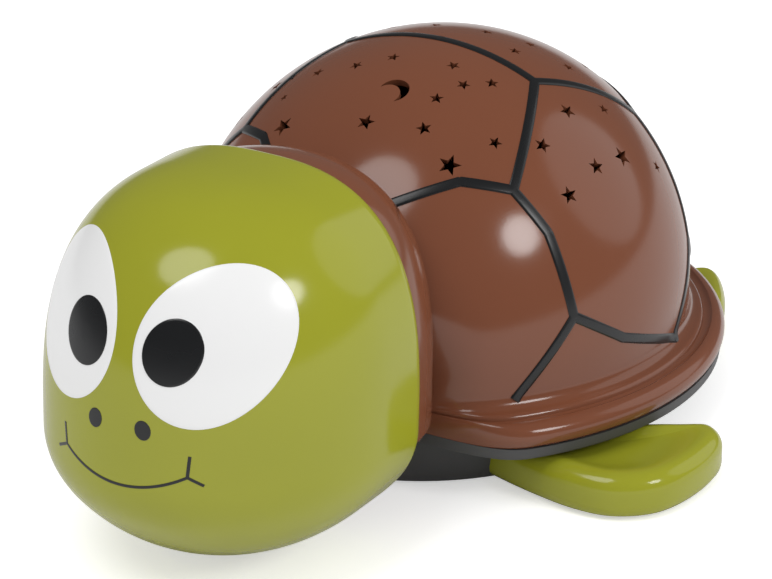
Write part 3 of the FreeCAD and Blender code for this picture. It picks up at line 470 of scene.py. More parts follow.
@dataclass
class HeadForm:
    """Sizes of the head and the curves that the head, face and collar share."""

    half_width: float = 51.2
    reach: float = 57.3
    centre_y: float = -114.6
    depth: float = 19.7
    edge_round: float = 6.6
    widest: float = 38.9
    top: float = 106.5
    crease: float = 27.6
    bottom: float = -3.7
    square: float = 2.72

    @property
    def rear(self) -> float:
        """Place of the flat back of the head."""
        return self.centre_y + self.depth

    def half_at(self, z: float) -> float:
        """Return the half width of the head above the crease at a height."""
        if z <= self.widest:
            return self.half_width
        part = min(1.0, (z - self.widest) / (self.top - self.widest))
        return self.half_width * (1.0 - part ** self.square) ** (1.0 / self.square)

    def front_at(self, x: float, z: float) -> float:
        """Return the place of the face surface at an X place and a height."""
        half = self.half_at(z)
        return self.centre_y - self.reach / self.half_width * math.sqrt(max(0.0, half * half - x * x))

    def outline(self, inset: float = 0.0, soften: float = 7.0) -> list[Vector]:
        """Return the half outline from the chin to the crown."""
        half = self.half_width - inset
        low = self.bottom + inset
        drop = self.crease - low
        bowl = (half * half + drop * drop) / (2.0 * drop)
        sweep = math.degrees(math.asin(half / bowl))
        points = arc_points((0.0, low + bowl), bowl, -90.0, -90.0 + sweep, 28)
        points[0].x = 0.0
        edge = points[-1]
        if soften:
            points = [point for point in points[:-1] if (point - edge).length > soften * 1.05] + [edge]
        corner = len(points) - 1
        rise = self.top - inset - self.widest
        steps = 44
        for i in range(steps + 1):
            turn = math.pi / 2.0 * i / steps
            across = half * math.cos(turn) ** (2.0 / self.square)
            up = self.widest + rise * math.sin(turn) ** (2.0 / self.square)
            points.append(Vector((max(across, 0.0), 0.0, up)))
        points[-1].x = 0.0
        if soften:
            points = rounded(points, corner, soften)
        return points


@dataclass
class Shell:
    """Brown star shell, its collar and the black line network."""

    half_width: float = 76.3
    factor: float = 82.8 / 76.3
    spring: float = 35.5
    wall: float = 2.4
    lip_reach: float = 7.4
    lip_round: float = 4.0
    lip_lift: float = 3.4
    groove_reach: float = 4.8
    groove_lift: float = 6.9
    ledge_reach: float = 3.2
    ledge_lift: float = 8.6
    foot_height: float = 12.5
    line_width: float = 3.0
    line_proud: float = 0.4
    star_small: float = 2.2
    star_large: float = 3.5
    moon_radius: float = 4.6
    star_ease: float = 2.1
    collar_inset: float = 4.0
    collar_reach: float = 40.0
    gap: float = 0.3
    cutter_share: float = 2.6
    moon_place: tuple[float, float] = (4.0, 68.0)
    steps: int = 200
    head: HeadForm = field(default_factory=HeadForm)

    def stretch(self) -> Matrix:
        """Return the stretch along Y that makes the plan an ellipse."""
        return Matrix.Diagonal((1.0, self.factor, 1.0, 1.0))

    def outer_profile(self) -> list[Vector]:
        """Return the outside outline from the crown down to the lip and the axis."""
        seam = POSE.seam
        points = arc_points((0.0, self.spring), self.half_width, 90.0, 0.0, 60)
        points[0].x = 0.0
        foot = Vector((self.half_width, 0.0, seam + self.foot_height))
        ledge = Vector((self.half_width + self.ledge_reach, 0.0, seam + self.ledge_lift))
        bend = Vector((self.half_width + 0.35, 0.0, seam + self.ledge_lift + 0.55))
        for i in range(9):
            points.append(along_bend(foot, bend, ledge, i / 8))
        groove = Vector((self.half_width + self.groove_reach, 0.0, seam + self.groove_lift))
        crest = (ledge + groove) / 2.0 + Vector((0.55, 0.0, 0.65))
        for i in range(1, 6):
            points.append(along_bend(ledge, crest, groove, i / 5))
        centre = (self.half_width + self.lip_reach, seam + self.lip_lift)
        lip = arc_points(centre, self.lip_round, 90.0, -50.0, 26)
        dip = (groove + lip[0]) / 2.0 + Vector((0.1, 0.0, -0.75))
        for i in range(1, 6):
            points.append(along_bend(groove, dip, lip[0], i / 6))
        points.extend(lip)
        points.append(Vector((lip[-1].x - 0.8, 0.0, seam)))
        return points

    def solid(self, profile: list[Vector], low: float) -> bmesh.types.BMesh:
        """Turn an outline about the dome axis into a closed, stretched solid."""
        bm = turned(profile + [Vector((0.0, 0.0, low))], math.tau, self.steps, True)
        bmesh.ops.transform(bm, matrix=self.stretch(), verts=bm.verts)
        PRESS.apply(bm)
        return bm

    def inner_profile(self) -> list[Vector]:
        """Return the hollow's outline from its crown down through the seam."""
        seam = POSE.seam
        points = arc_points((0.0, self.spring), self.half_width - self.wall, 90.0, 0.0, 48)
        points[0].x = 0.0
        points.append(Vector((self.half_width - self.wall, 0.0, seam + self.foot_height)))
        points.append(Vector((self.half_width + 1.6, 0.0, seam + self.ledge_lift - self.wall)))
        points.append(Vector((self.half_width + self.lip_reach, 0.0, seam + self.lip_lift + 1.6)))
        points.append(Vector((self.half_width + self.lip_reach, 0.0, seam - 3.0)))
        return points

    def collar(self, inset: float, near: float) -> bmesh.types.BMesh:
        """Make the rounded collar behind the head as a closed solid."""
        rest = self.collar_inset + inset
        half = self.head.half_width - rest
        bm = turned(self.head.outline(rest, 0.0), math.pi, 90)
        stretch = Matrix.Diagonal((1.0, (self.collar_reach - inset) / half, 1.0, 1.0))
        bmesh.ops.transform(bm, matrix=Matrix.Translation((0, near, 0)) @ stretch, verts=bm.verts)
        rim = [edge for edge in bm.edges if len(edge.link_faces) == 1]
        bmesh.ops.contextual_create(bm, geom=rim)
        cut = slice_off(bm, (0, 0, POSE.seam + 1.0 + inset), (0, 0, -1))
        bmesh.ops.contextual_create(bm, geom=cut)
        return bm

    def direction(self, around: float, up: float) -> Vector:
        """Return the unit direction for degrees round from the head and degrees up."""
        a, b = math.radians(around), math.radians(up)
        return Vector((math.sin(a) * math.cos(b), -math.cos(a) * math.cos(b), math.sin(b)))

    def stars(self) -> list[tuple[float, float, float]]:
        """Return the places and tip radii of all the stars."""
        small, large = self.star_small, self.star_large
        front = [
            (-66, 56, small * 0.8), (-38, 71, small), (-21, 78, small), (-54, 63, small),
            (-51, 54, small * 0.7), (-34, 50, large), (44, 78, small), (47, 71, small), (66, 70, small),
            (30, 67, small), (1, 58, small * 1.3), (26, 58.5, small * 1.1), (53, 54, small),
            (36, 49.5, large),
        ]
        flank = [
            (91, 56, small * 1.3), (110, 50.5, small), (70, 51, small * 1.2), (85, 42, small * 1.3),
            (98, 40.5, large), (71, 38.5, small * 1.3), (113, 32, small),
        ]
        rear = [
            (120, 74, small), (143, 69, small), (127, 61, small), (165, 77, small), (-150, 78, small),
            (-120, 70, small), (-140, 62, large), (160, 58, small * 1.2), (-168, 55, small),
            (180, 66, small), (145, 53, small),
        ]
        places = front + rear
        for side in Side:
            places.extend((side.value * around, up, tip) for around, up, tip in flank)
        return places

    def star_direction(self, around: float, up: float) -> Vector:
        """Return the direction of a star, eased down and towards the head."""
        unit = self.direction(abs(around), up)
        ease = Matrix.Rotation(math.radians(self.star_ease), 3, Vector((0.861, 0.509, 0.0)))
        turn = Matrix.Rotation(math.radians(-self.star_ease * 0.85), 3, "Z")
        unit = turn @ ease @ unit
        if around < 0:
            unit.x = -unit.x
        return unit

    def square_to(self, unit: Vector, spin: float) -> Matrix:
        """Return the transform that sets a flat shape on the dome under a direction."""
        east = Vector((0, 0, 1)).cross(unit)
        east = east.normalized() if east.length > 1e-6 else Vector((1, 0, 0))
        north = unit.cross(east)
        turn = Matrix((east, north, unit)).transposed().to_4x4()
        spot = unit * self.half_width + Vector((0, 0, self.spring))
        return Matrix.Translation(spot) @ turn @ Matrix.Rotation(math.radians(spin), 4, "Z")

    def light_openings(self) -> bmesh.types.BMesh:
        """Make all star cutters and the crescent as one mesh of closed prisms."""
        bm = bmesh.new()
        depth = self.wall * self.cutter_share
        for count, (around, up, tip) in enumerate(self.stars()):
            made = bmesh.ops.create_circle(bm, cap_ends=True, radius=tip, segments=10)
            for index, vert in enumerate(made["verts"]):
                turn = math.radians(90.0 + 36.0 * index)
                reach = tip if index % 2 == 0 else tip * 0.42
                vert.co = Vector((reach * math.cos(turn), reach * math.sin(turn), -depth))
            faces = list({face for vert in made["verts"] for face in vert.link_faces})
            grown = bmesh.ops.extrude_face_region(bm, geom=faces)
            fresh = new_verts(grown)
            bmesh.ops.translate(bm, vec=(0, 0, 2 * depth), verts=fresh)
            place = self.square_to(self.star_direction(around, up), 17.0 * (count % 5))
            bmesh.ops.transform(bm, matrix=place, verts=made["verts"] + fresh)
        bmesh.ops.transform(bm, matrix=self.stretch(), verts=bm.verts)
        return bm

    def crescent(self) -> bmesh.types.BMesh:
        """Make the cutter for the crescent moon."""
        bm = bmesh.new()
        depth = self.wall * self.cutter_share
        radius = self.moon_radius
        bite = radius * 0.86
        centre = Vector((-0.30 * radius, -0.42 * radius, 0.0))
        gap = centre.length
        along = (radius * radius - bite * bite + gap * gap) / (2.0 * gap)
        lean = math.atan2(centre.y, centre.x)
        open_out = math.acos(along / radius)
        open_in = math.atan2(radius * math.sin(open_out), along - gap)
        points = []
        for i in range(25):
            turn = lean + open_out + (math.tau - 2 * open_out) * i / 24
            points.append(Vector((radius * math.cos(turn), radius * math.sin(turn), -depth)))
        for i in range(1, 20):
            turn = lean - open_in - (math.tau - 2 * open_in) * i / 20
            points.append(Vector((centre.x + bite * math.cos(turn), centre.y + bite * math.sin(turn), -depth)))
        edges = chain(bm, points, True)
        bmesh.ops.contextual_create(bm, geom=edges)
        grown = bmesh.ops.extrude_face_region(bm, geom=bm.faces[:])
        bmesh.ops.translate(bm, vec=(0, 0, 2 * depth), verts=new_verts(grown))
        place = self.square_to(self.star_direction(*self.moon_place), 0.0)
        bmesh.ops.transform(bm, matrix=self.stretch() @ place, verts=bm.verts)
        return bm

    def build_skin(self) -> bpy.types.Object:
        """Make the pierced shell with its brim and collar."""
        near = self.head.rear + self.gap
        skin = scratch(self.solid(self.outer_profile(), POSE.seam), "skin")
        boolean(skin, scratch(self.collar(0.0, near), "collar"), "UNION")
        hollow = scratch(self.solid(self.inner_profile(), POSE.seam - 3.0), "hollow")
        boolean(skin, hollow, "DIFFERENCE")
        boolean(skin, scratch(self.collar(self.wall, near + self.wall), "throat"), "DIFFERENCE")
        boolean(skin, scratch(self.light_openings(), "stars"), "DIFFERENCE")
        boolean(skin, scratch(self.crescent(), "moon"), "DIFFERENCE")
        bm = bmesh.new()
        bm.from_mesh(skin.data)
        bpy.data.objects.remove(skin)
        rim = [edge for edge in slice_off(bm, (0, near, 0), (0, -1, 0)) if edge.is_boundary]
        if rim:
            bmesh.ops.holes_fill(bm, edges=rim, sides=0)
        return finish_mesh(bm, "shell_skin", "star_shell", "base", POSE.matrix(), 28.0)

    def chains(self) -> list[list[tuple[float, float]]]:
        """Return the lines of one side as places in degrees."""
        shoulder, corner, haunch = (52.0, 40.5), (86.5, 65.0), (127.0, 41.0)
        front_knee, rear_knee, foot = (62.5, 11.0), (116.0, 11.0), (98.0, -6.0)
        return [
            [(18.0, 38.0), (37.0, 43.5), shoulder, corner, haunch, (154.0, 44.5), (180.0, 45.0)],
            [shoulder, (59.0, 30.0), front_knee, (48.5, -5.6)],
            [front_knee, (76.0, 2.5), foot, rear_knee, haunch],
            [rear_knee, (133.5, -5.6)],
            [corner, (0.0, 88.5)],
        ]

    def skin_point(self, unit: Vector) -> tuple[Vector, Vector]:
        """Return the place and outward direction of the shell under a direction."""
        centre = Vector((0, 0, self.spring))
        if unit.z >= 0.0:
            return centre + unit * self.half_width, unit
        flat = Vector((unit.x, unit.y, 0.0)).normalized()
        height = self.spring + self.half_width * unit.z
        foot = POSE.seam + self.foot_height
        low = POSE.seam + self.ledge_lift
        part = min(1.0, max(0.0, (foot - height) / (foot - low)))
        radius = self.half_width + self.ledge_reach * part ** 2.2
        return flat * radius + Vector((0, 0, max(height, low))), (flat + Vector((0, 0, part * 0.9))).normalized()

    def band(self, bm: bmesh.types.BMesh, first: Vector, last: Vector) -> None:
        """Lay one raised line over the shell from a place to the next."""
        half = self.line_width / 2.0
        edge = self.line_proud
        shape = [(-half, -0.8), (half, -0.8), (half, edge * 0.35), (half * 0.82, edge * 0.85),
                 (half * 0.5, edge), (-half * 0.5, edge), (-half * 0.82, edge * 0.85), (-half, edge * 0.35)]
        steps = max(3, int(math.degrees(first.angle(last)) / 1.5))
        spots = [self.skin_point(first.slerp(last, i / steps)) for i in range(steps + 1)]
        ring = None
        for index, (spot, out) in enumerate(spots):
            along = spots[min(index + 1, steps)][0] - spots[max(index - 1, 0)][0]
            across = out.cross(along).normalized()
            fresh = [bm.verts.new(spot + across * side + out * up) for side, up in shape]
            if ring is None:
                bm.faces.new(fresh)
            else:
                for k in range(len(shape)):
                    n = (k + 1) % len(shape)
                    bm.faces.new((ring[k], ring[n], fresh[n], fresh[k]))
            ring = fresh
        bm.faces.new(ring)

    def build_lines(self) -> bpy.types.Object:
        """Make the raised black line network."""
        bm = bmesh.new()
        for side in Side:
            for places in self.chains():
                units = [self.direction(side.value * around, up) for around, up in places]
                for first, last in zip(units[:-1], units[1:]):
                    self.band(bm, first, last)
                for unit in units:
                    if unit is units[-1] and unit.z < 0.0:
                        continue
                    knob = bmesh.ops.create_cone(bm, cap_ends=True, segments=24, radius1=self.line_width / 2.0,
                                                 radius2=self.line_width / 2.0 * 0.8, depth=1.2)
                    spot, out = self.skin_point(unit)
                    turn = out.to_track_quat("Z", "Y").to_matrix().to_4x4()
                    place = Matrix.Translation(spot + out * (self.line_proud - 0.62)) @ turn
                    bmesh.ops.transform(bm, matrix=place, verts=knob["verts"])
        bmesh.ops.transform(bm, matrix=self.stretch(), verts=bm.verts)
        PRESS.apply(bm)
        return finish_mesh(bm, "shell_lines", "line_net", "base", POSE.matrix(), 50.0)


@dataclass
class Head:
    """Green head and the marks of its face."""

    form: HeadForm = field(default_factory=HeadForm)
    eye_spread: float = 21.0
    eye_height: float = 74.2
    eye_half_width: float = 18.0
    eye_half_height: float = 20.6
    pupil_spread: float = 13.6
    pupil_height: float = 73.6
    pupil_half_width: float = 7.9
    pupil_half_height: float = 8.8
    nostril_spread: float = 7.6
    nostril_height: float = 51.7
    smile_half_width: float = 19.5
    smile_height: float = 39.6
    smile_radius: float = 39.0
    smile_line: float = 0.8
    inlay_depth: float = 0.7
    oval_rings: tuple[float, ...] = (0.985, 0.93, 0.85, 0.75, 0.62, 0.48, 0.33, 0.17)

    def build_skin(self) -> bpy.types.Object:
        """Make the head: a half round face, a straight part and a rounded back edge."""
        form = self.form
        bm = turned(form.outline(), -math.pi, 120)
        stretch = Matrix.Diagonal((1.0, form.reach / form.half_width, 1.0, 1.0))
        bmesh.ops.transform(bm, matrix=Matrix.Translation((0, form.centre_y, 0)) @ stretch, verts=bm.verts)
        middle = (form.top + form.bottom) / 2.0
        stations = [(form.depth - form.edge_round, 0.0)]
        for i in range(1, 11):
            turn = math.pi / 2.0 * i / 10
            stations.append((form.depth - form.edge_round + form.edge_round * math.sin(turn),
                             form.edge_round * (1.0 - math.cos(turn))))
        rim = [edge for edge in bm.edges if edge.is_boundary]
        last = 0.0
        for reach, inset in stations:
            grown = bmesh.ops.extrude_edge_only(bm, edges=rim)
            step = inset - last
            half = form.half_width - last
            tall = (form.top - form.bottom) / 2.0 - last
            for vert in new_verts(grown):
                vert.co.y = form.centre_y + reach
                vert.co.x *= (half - step) / half
                vert.co.z = middle + (vert.co.z - middle) * (tall - step) / tall
            rim = new_rim(grown)
            last = inset
        bmesh.ops.contextual_create(bm, geom=rim)
        return finish_mesh(bm, "head_skin", "head_shell", "base", POSE.matrix(), 40.0)

    def on_face(self, x: float, z: float, proud: float) -> Vector:
        """Return the point of the face at an X place and a height, lifted off it."""
        return Vector((x, self.form.front_at(x, z) - proud, z))

    def oval(self, name: str, node: str, spots: list[tuple[float, float, float, float, float]],
             proud: float) -> bpy.types.Object:
        """Make ovals that follow the face.

        Args:
            name: Name of the piece.
            node: CAD node that it stands for.
            spots: Centre, half sizes and lean in degrees of each oval.
            proud: How far it stands off the face.

        Returns:
            The piece.
        """
        bm = bmesh.new()
        for x, z, half_w, half_h, lean in spots:
            made = bmesh.ops.create_circle(bm, cap_ends=False, radius=1.0, segments=96)
            every = list(made["verts"])
            rim = list({edge for vert in made["verts"] for edge in vert.link_edges})
            outer = list(rim)
            for ratio in self.oval_rings:
                grown = bmesh.ops.extrude_edge_only(bm, edges=rim)
                fresh = new_verts(grown)
                for vert in fresh:
                    vert.co = Vector((vert.co.x, vert.co.y, 0.0)).normalized() * ratio
                rim = new_rim(grown)
                every += fresh
            bmesh.ops.contextual_create(bm, geom=rim)
            turn = math.radians(lean)
            for vert in every:
                u, v = vert.co.x * half_w, vert.co.y * half_h
                lift = proud if Vector((vert.co.x, vert.co.y)).length < 0.999 else proud * 0.35
                vert.co = self.on_face(x + u * math.cos(turn) - v * math.sin(turn),
                                       z + u * math.sin(turn) + v * math.cos(turn), lift)
            grown = bmesh.ops.extrude_edge_only(bm, edges=outer)
            bmesh.ops.translate(bm, vec=(0, self.inlay_depth, 0), verts=new_verts(grown))
            bmesh.ops.contextual_create(bm, geom=new_rim(grown))
        return finish_mesh(bm, name, node, "base", POSE.matrix(), 60.0)

    def smile_path(self) -> list[list[tuple[float, float]]]:
        """Return the mouth and its corner ticks as lines of X and Z places."""
        rise = math.sqrt(self.smile_radius ** 2 - self.smile_half_width ** 2)
        centre = self.smile_height + rise
        sweep = math.asin(self.smile_half_width / self.smile_radius)
        mouth = []
        for i in range(41):
            turn = -sweep + 2 * sweep * i / 40
            mouth.append((self.smile_radius * math.sin(turn), centre - self.smile_radius * math.cos(turn)))
        lines = [mouth]
        for side in Side:
            x, z = side.value * self.smile_half_width, self.smile_height
            lines.append([(x + side.value * 0.6 * t, z + 6.2 * t) for t in (0.0, 0.33, 0.66, 1.0)])
            lines.append([(x + side.value * 4.0 * t, z - 2.2 * t) for t in (0.0, 0.33, 0.66, 1.0)])
        return lines

    def build_smile(self) -> bpy.types.Object:
        """Make the mouth line as a fine bead on the face."""
        bm = bmesh.new()
        half = self.smile_line / 2.0
        for line in self.smile_path():
            rows = []
            for index, (x, z) in enumerate(line):
                before = line[max(index - 1, 0)]
                after = line[min(index + 1, len(line) - 1)]
                along = Vector((after[0] - before[0], after[1] - before[1])).normalized()
                across = Vector((-along.y, along.x)) * half
                rows.append([self.on_face(x + across.x * s, z + across.y * s, lift)
                             for s, lift in ((1.0, -0.3), (1.0, 0.08), (0.0, 0.16), (-1.0, 0.08), (-1.0, -0.3))])
            edges = chain(bm, rows[0], True)
            bmesh.ops.contextual_create(bm, geom=edges)
            for row in rows[1:]:
                edges = grow(bm, edges, row)
            bmesh.ops.contextual_create(bm, geom=edges)
        return finish_mesh(bm, "smile", "smile_line", "base", POSE.matrix(), 60.0)

    def build_face(self) -> list[bpy.types.Object]:
        """Make the eyes, pupils, nostrils and mouth."""
        whites, pupils, nostrils = [], [], []
        for side in Side:
            sign = side.value
            whites.append((sign * self.eye_spread, self.eye_height, self.eye_half_width,
                           self.eye_half_height, sign * -4.0))
            pupils.append((sign * self.pupil_spread, self.pupil_height, self.pupil_half_width,
                           self.pupil_half_height, 0.0))
            nostrils.append((sign * self.nostril_spread, self.nostril_height, 2.3, 2.8, sign * 12.0))
        return [
            self.oval("eye_white_pair", "eye_whites", whites, 0.15),
            self.oval("pupil_pair", "eye_pupils", pupils, 0.3),
            self.oval("nostril_pair", "nostrils", nostrils, 0.12),
            self.build_smile(),
        ]


@dataclass
class Flipper:
    """One rounded paddle flipper."""

    node: str
    side: Side
    outline: tuple[tuple[float, float], ...]
    height: float
    clear: float = 0.9
    dish: float = 2.6
    rim: float = 5.2
    tip_lift: float = 0.0
    tip_start: float = 85.0
    tip_full: float = 95.0

    def loop(self) -> list[Vector]:
        """Return the smooth plan outline."""
        points = [Vector((self.side.value * x, y, 0.0)) for x, y in self.outline]
        total = len(points)
        smooth = []
        for i in range(total):
            p0, p1, p2, p3 = (points[(i + k) % total] for k in (-1, 0, 1, 2))
            for k in range(10):
                t = k / 10.0
                smooth.append(0.5 * ((2 * p1) + (p2 - p0) * t + (2 * p0 - 5 * p1 + 4 * p2 - p3) * t * t
                                     + (3 * p1 - p0 - 3 * p2 + p3) * t ** 3))
        return smooth

    def build(self) -> bpy.types.Object:
        """Make the paddle with soft edges and a dished top."""
        loop = self.loop()
        total = len(loop)
        middle = sum(loop, Vector()) / total
        normals = []
        for i in range(total):
            along = (loop[(i + 1) % total] - loop[i - 1]).normalized()
            out = Vector((along.y, -along.x, 0.0))
            normals.append(out if out.dot(loop[i] - middle) > 0 else -out)
        top = self.clear + self.height
        rim = self.rim
        rings = [(2.6, self.clear), (1.1, self.clear + 0.5), (0.3, self.clear + 1.7), (0.0, self.clear + 3.4)]
        for i in range(11):
            turn = math.pi / 2.0 * i / 10
            rings.append((rim * (1 - math.cos(turn)), top - rim + rim * math.sin(turn)))
        bm = bmesh.new()
        edges = chain(bm, [p - n * rings[0][0] + Vector((0, 0, rings[0][1])) for p, n in zip(loop, normals)], True)
        bmesh.ops.contextual_create(bm, geom=edges)
        shrink = [(1.0 - s, top - self.dish * (1 - (1 - s) ** 2) * w)
                  for s, w in ((0.06, 0.5), (0.14, 0.8), (0.25, 1.0), (0.4, 1.1), (0.6, 1.0), (0.8, 0.95))]
        for ring in rings[1:]:
            edges = grow(bm, edges, [p - n * ring[0] + Vector((0, 0, ring[1])) for p, n in zip(loop, normals)])
        base = [p - n * rim for p, n in zip(loop, normals)]
        for ratio, z in shrink:
            edges = grow(bm, edges, [Vector((middle.x + (p.x - middle.x) * ratio,
                                             middle.y + (p.y - middle.y) * ratio, z)) for p in base])
        bmesh.ops.contextual_create(bm, geom=edges)
        for vert in bm.verts:
            part = (math.hypot(vert.co.x, vert.co.y) - self.tip_start) / (self.tip_full - self.tip_start)
            part = min(1.0, max(0.0, part))
            vert.co.z += self.tip_lift * part * part * (3.0 - 2.0 * part) * vert.co.z / top
        return finish_mesh(bm, self.node + "_paddle", self.node, "base", POSE.flat(), 60.0)


FRONT_OUTLINE = ((30.0, -46.0), (47.0, -51.0), (62.0, -55.0), (78.0, -57.5), (91.0, -55.5), (101.5, -46.0),
                 (105.9, -30.0), (105.0, -14.0), (98.0, -7.5), (88.0, -12.5), (72.0, -21.5), (50.0, -28.0),
                 (32.0, -30.0))
REAR_OUTLINE = ((20.0, 44.0), (36.0, 45.0), (52.0, 50.0), (62.0, 60.0), (65.0, 70.0), (60.5, 81.5),
                (53.0, 91.0), (45.5, 89.5), (36.0, 75.0), (27.0, 66.0), (17.0, 60.0))


class Base:
    """Charcoal base and its brim screws, taken from the frame with the brim's flattened front."""

    node: str = "base_housing"
    flange_low: float = 11.0
    flange_full: float = 15.5
    screws: str = "brim_screws"
    screw_inset: float = 5.5

    def build_screws(self) -> bpy.types.Object:
        """Copy the brim screws and move the front ones whole, with the flange."""
        bm = bmesh.new()
        bm.from_mesh(frame["nodes"][self.screws].data)
        bmesh.ops.transform(bm, matrix=POSE.flat().inverted(), verts=bm.verts)
        bmesh.ops.remove_doubles(bm, verts=bm.verts, dist=WELD)
        left = set(bm.verts)
        while left:
            island, edge = set(), [left.pop()]
            while edge:
                vert = edge.pop()
                island.add(vert)
                for link in vert.link_edges:
                    other = link.other_vert(vert)
                    if other in left:
                        left.discard(other)
                        edge.append(other)
            middle = sum(vert.co.y for vert in island) / len(island)
            move = PRESS.moved(middle, 1.0) - middle
            for vert in island:
                vert.co.y += move + (self.screw_inset if move > 0.0 else 0.0)
        return finish_mesh(bm, "brim_screw_set", self.screws, "base", POSE.flat(), 30.0)

    def build(self) -> bpy.types.Object:
        """Copy the base, join its faces and let its flange follow the brim."""
        bm = bmesh.new()
        bm.from_mesh(frame["nodes"][self.node].data)
        bmesh.ops.transform(bm, matrix=POSE.flat().inverted(), verts=bm.verts)
        for vert in bm.verts:
            part = (vert.co.z - self.flange_low) / (self.flange_full - self.flange_low)
            vert.co.y = PRESS.moved(vert.co.y, min(1.0, max(0.0, part)))
        return finish_mesh(bm, "base_skin", self.node, "base", POSE.flat(), 30.0)


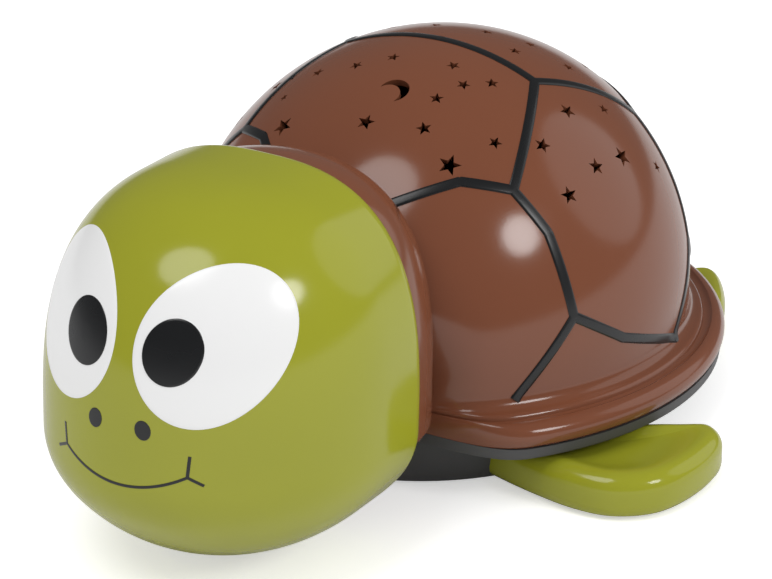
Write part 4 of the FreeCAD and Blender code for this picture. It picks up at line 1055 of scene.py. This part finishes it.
class Studio:
    """Floor, lamps, backdrop and camera."""

    floor_drop: float = 0.0003
    paper: tuple[float, float, float, float] = (0.93, 0.93, 0.93, 1.0)
    paper_glow: float = 0.5
    room_light: float = 0.56
    gloss_light: float = 0.13
    sensor_width: float = 36.0
    focal_pixels: float = 3338.95
    picture_pixels: float = 772.0
    camera_spot: tuple[float, float, float] = (0.46215, -0.81122, 0.46551)
    camera_fall: float = 25.019
    camera_turn: float = 30.617

    def floor(self) -> None:
        """Lay a wide pale floor."""
        bm = bmesh.new()
        bmesh.ops.create_grid(bm, x_segments=8, y_segments=8, size=6.0)
        bmesh.ops.translate(bm, vec=(0.0, 0.0, -self.floor_drop), verts=bm.verts)
        mesh = bpy.data.meshes.new("studio_floor")
        bm.to_mesh(mesh)
        bm.free()
        floor = bpy.data.objects.new("studio_floor", mesh)
        bpy.context.scene.collection.objects.link(floor)
        material = bpy.data.materials.new("studio_paper")
        material.use_nodes = True
        tree = material.node_tree
        nodes, links = tree.nodes, tree.links
        shader = nodes["Principled BSDF"]
        shader.inputs["Base Color"].default_value = self.paper
        shader.inputs["Roughness"].default_value = 0.9
        shader.inputs["Specular IOR Level"].default_value = 0.0
        glow = new_node(tree, "Emission", {"Strength": self.paper_glow})
        rays = new_node(tree, "LightPath")
        add = new_node(tree, "AddShader")
        mix = new_node(tree, "MixShader")
        links.new(shader.outputs[0], add.inputs[0])
        links.new(glow.outputs[0], add.inputs[1])
        links.new(rays.outputs["Is Camera Ray"], mix.inputs[0])
        links.new(shader.outputs[0], mix.inputs[1])
        links.new(add.outputs[0], mix.inputs[2])
        under = new_node(tree, "NewGeometry")
        clear = new_node(tree, "BsdfTransparent")
        top = new_node(tree, "MixShader")
        links.new(under.outputs["Backfacing"], top.inputs[0])
        links.new(mix.outputs[0], top.inputs[1])
        links.new(clear.outputs[0], top.inputs[2])
        links.new(top.outputs[0], nodes["Material Output"].inputs["Surface"])
        mesh.materials.append(material)

    def world(self) -> None:
        """Light the room softly and show it white to the camera."""
        world = bpy.data.worlds.new("studio_room")
        bpy.context.scene.world = world
        world.use_nodes = True
        tree = world.node_tree
        nodes, links = tree.nodes, tree.links
        room = nodes["Background"]
        room.inputs["Color"].default_value = WHITE
        room.inputs["Strength"].default_value = self.room_light
        white = new_node(tree, "Background", {"Color": WHITE, "Strength": 1.0})
        rays = new_node(tree, "LightPath")
        mix = new_node(tree, "MixShader")
        dim = new_node(tree, "Background", {"Color": WHITE, "Strength": self.gloss_light})
        gloss = new_node(tree, "MixShader")
        seen = new_node(tree, "Math")
        seen.operation = "MAXIMUM"
        links.new(rays.outputs["Is Camera Ray"], seen.inputs[0])
        links.new(rays.outputs["Is Transmission Ray"], seen.inputs[1])
        links.new(seen.outputs[0], mix.inputs[0])
        links.new(rays.outputs["Is Glossy Ray"], gloss.inputs[0])
        links.new(room.outputs[0], gloss.inputs[1])
        links.new(dim.outputs[0], gloss.inputs[2])
        links.new(gloss.outputs[0], mix.inputs[1])
        links.new(white.outputs[0], mix.inputs[2])
        links.new(mix.outputs[0], nodes["World Output"].inputs["Surface"])

    def lamp(self, name: str, spot: tuple[float, float, float], size: float, power: float) -> None:
        """Hang a round soft lamp that looks at the object."""
        data = bpy.data.lights.new(name, "AREA")
        data.shape = "DISK"
        data.size = size
        data.energy = power
        lamp = bpy.data.objects.new(name, data)
        lamp.location = spot
        lamp.rotation_euler = (Vector((0, 0, 0.05)) - Vector(spot)).to_track_quat("-Z", "Y").to_euler()
        bpy.context.scene.collection.objects.link(lamp)

    def camera(self) -> None:
        """Set the camera at the photograph's viewing angle."""
        data = bpy.data.cameras.new("studio_camera")
        data.sensor_width = self.sensor_width
        data.lens = self.focal_pixels / self.picture_pixels * self.sensor_width
        data.clip_end = 50.0
        camera = bpy.data.objects.new("studio_camera", data)
        x, y, z = self.camera_spot
        camera.location = (x, y + POSE.shift * MM, z)
        camera.rotation_euler = (math.radians(90.0 - self.camera_fall), 0.0, math.radians(self.camera_turn))
        bpy.context.scene.collection.objects.link(camera)
        bpy.context.scene.camera = camera

    def build(self) -> None:
        """Set up the whole studio."""
        self.floor()
        self.world()
        self.lamp("key_lamp", (-0.220, -0.895, 1.872), 1.15, 13.0)
        self.lamp("side_lamp", (1.692, -0.135, 1.214), 0.6, 9.0)
        self.lamp("back_softbox", (1.2, 1.45, 0.95), 1.7, 5.5)
        self.camera()
        bpy.context.scene.view_settings.view_transform = "Standard"


def dress(shared: SharedEffects) -> None:
    """Give every node of the frame the finish of its slot.

    Args:
        shared: Shader groups that the finishes share.
    """
    made = {slot: finish.build(shared) for slot, finish in FINISHES.items()}
    slots = {item["node"]: item["material_slot"] for item in frame["record"]["subparts"]}
    for name, node in frame["nodes"].items():
        if node.type == "MESH":
            paint(node, made[slots[name]])


def paint(piece: bpy.types.Object, material: bpy.types.Material) -> None:
    """Put one material on a piece."""
    piece.data.materials.clear()
    piece.data.materials.append(material)


def main() -> None:
    """Build every piece, dress it and light it."""
    logging.basicConfig(level=logging.INFO)
    shared = SharedEffects()
    dress(shared)
    pieces = []
    shell = Shell()
    pieces.append((shell.build_skin(), "cocoa_brown_gloss"))
    LOG.info("shell skin made")
    pieces.append((shell.build_lines(), "ink_black_satin"))
    LOG.info("shell lines made")
    head = Head()
    pieces.append((head.build_skin(), "leaf_green_gloss"))
    for piece, finish in zip(head.build_face(), ("eye_white_gloss", "ink_black_satin", "ink_black_satin",
                                                 "ink_black_satin")):
        pieces.append((piece, finish))
    LOG.info("head and face made")
    for side, word in ((Side.LEFT, "left"), (Side.RIGHT, "right")):
        pieces.append((Flipper("flipper_front_" + word, side, FRONT_OUTLINE, 13.0).build(), "leaf_green_gloss"))
        pieces.append((Flipper("flipper_rear_" + word, side, REAR_OUTLINE, 8.6, dish=1.0, rim=3.8,
                              tip_lift=4.5).build(),
                       "leaf_green_gloss"))
    pieces.append((Base().build(), "charcoal_satin"))
    pieces.append((Base().build_screws(), "screw_steel"))
    LOG.info("flippers and base made")
    for piece, finish in pieces:
        paint(piece, bpy.data.materials[finish])
    Studio().build()


if __name__ == "__main__":
    main()
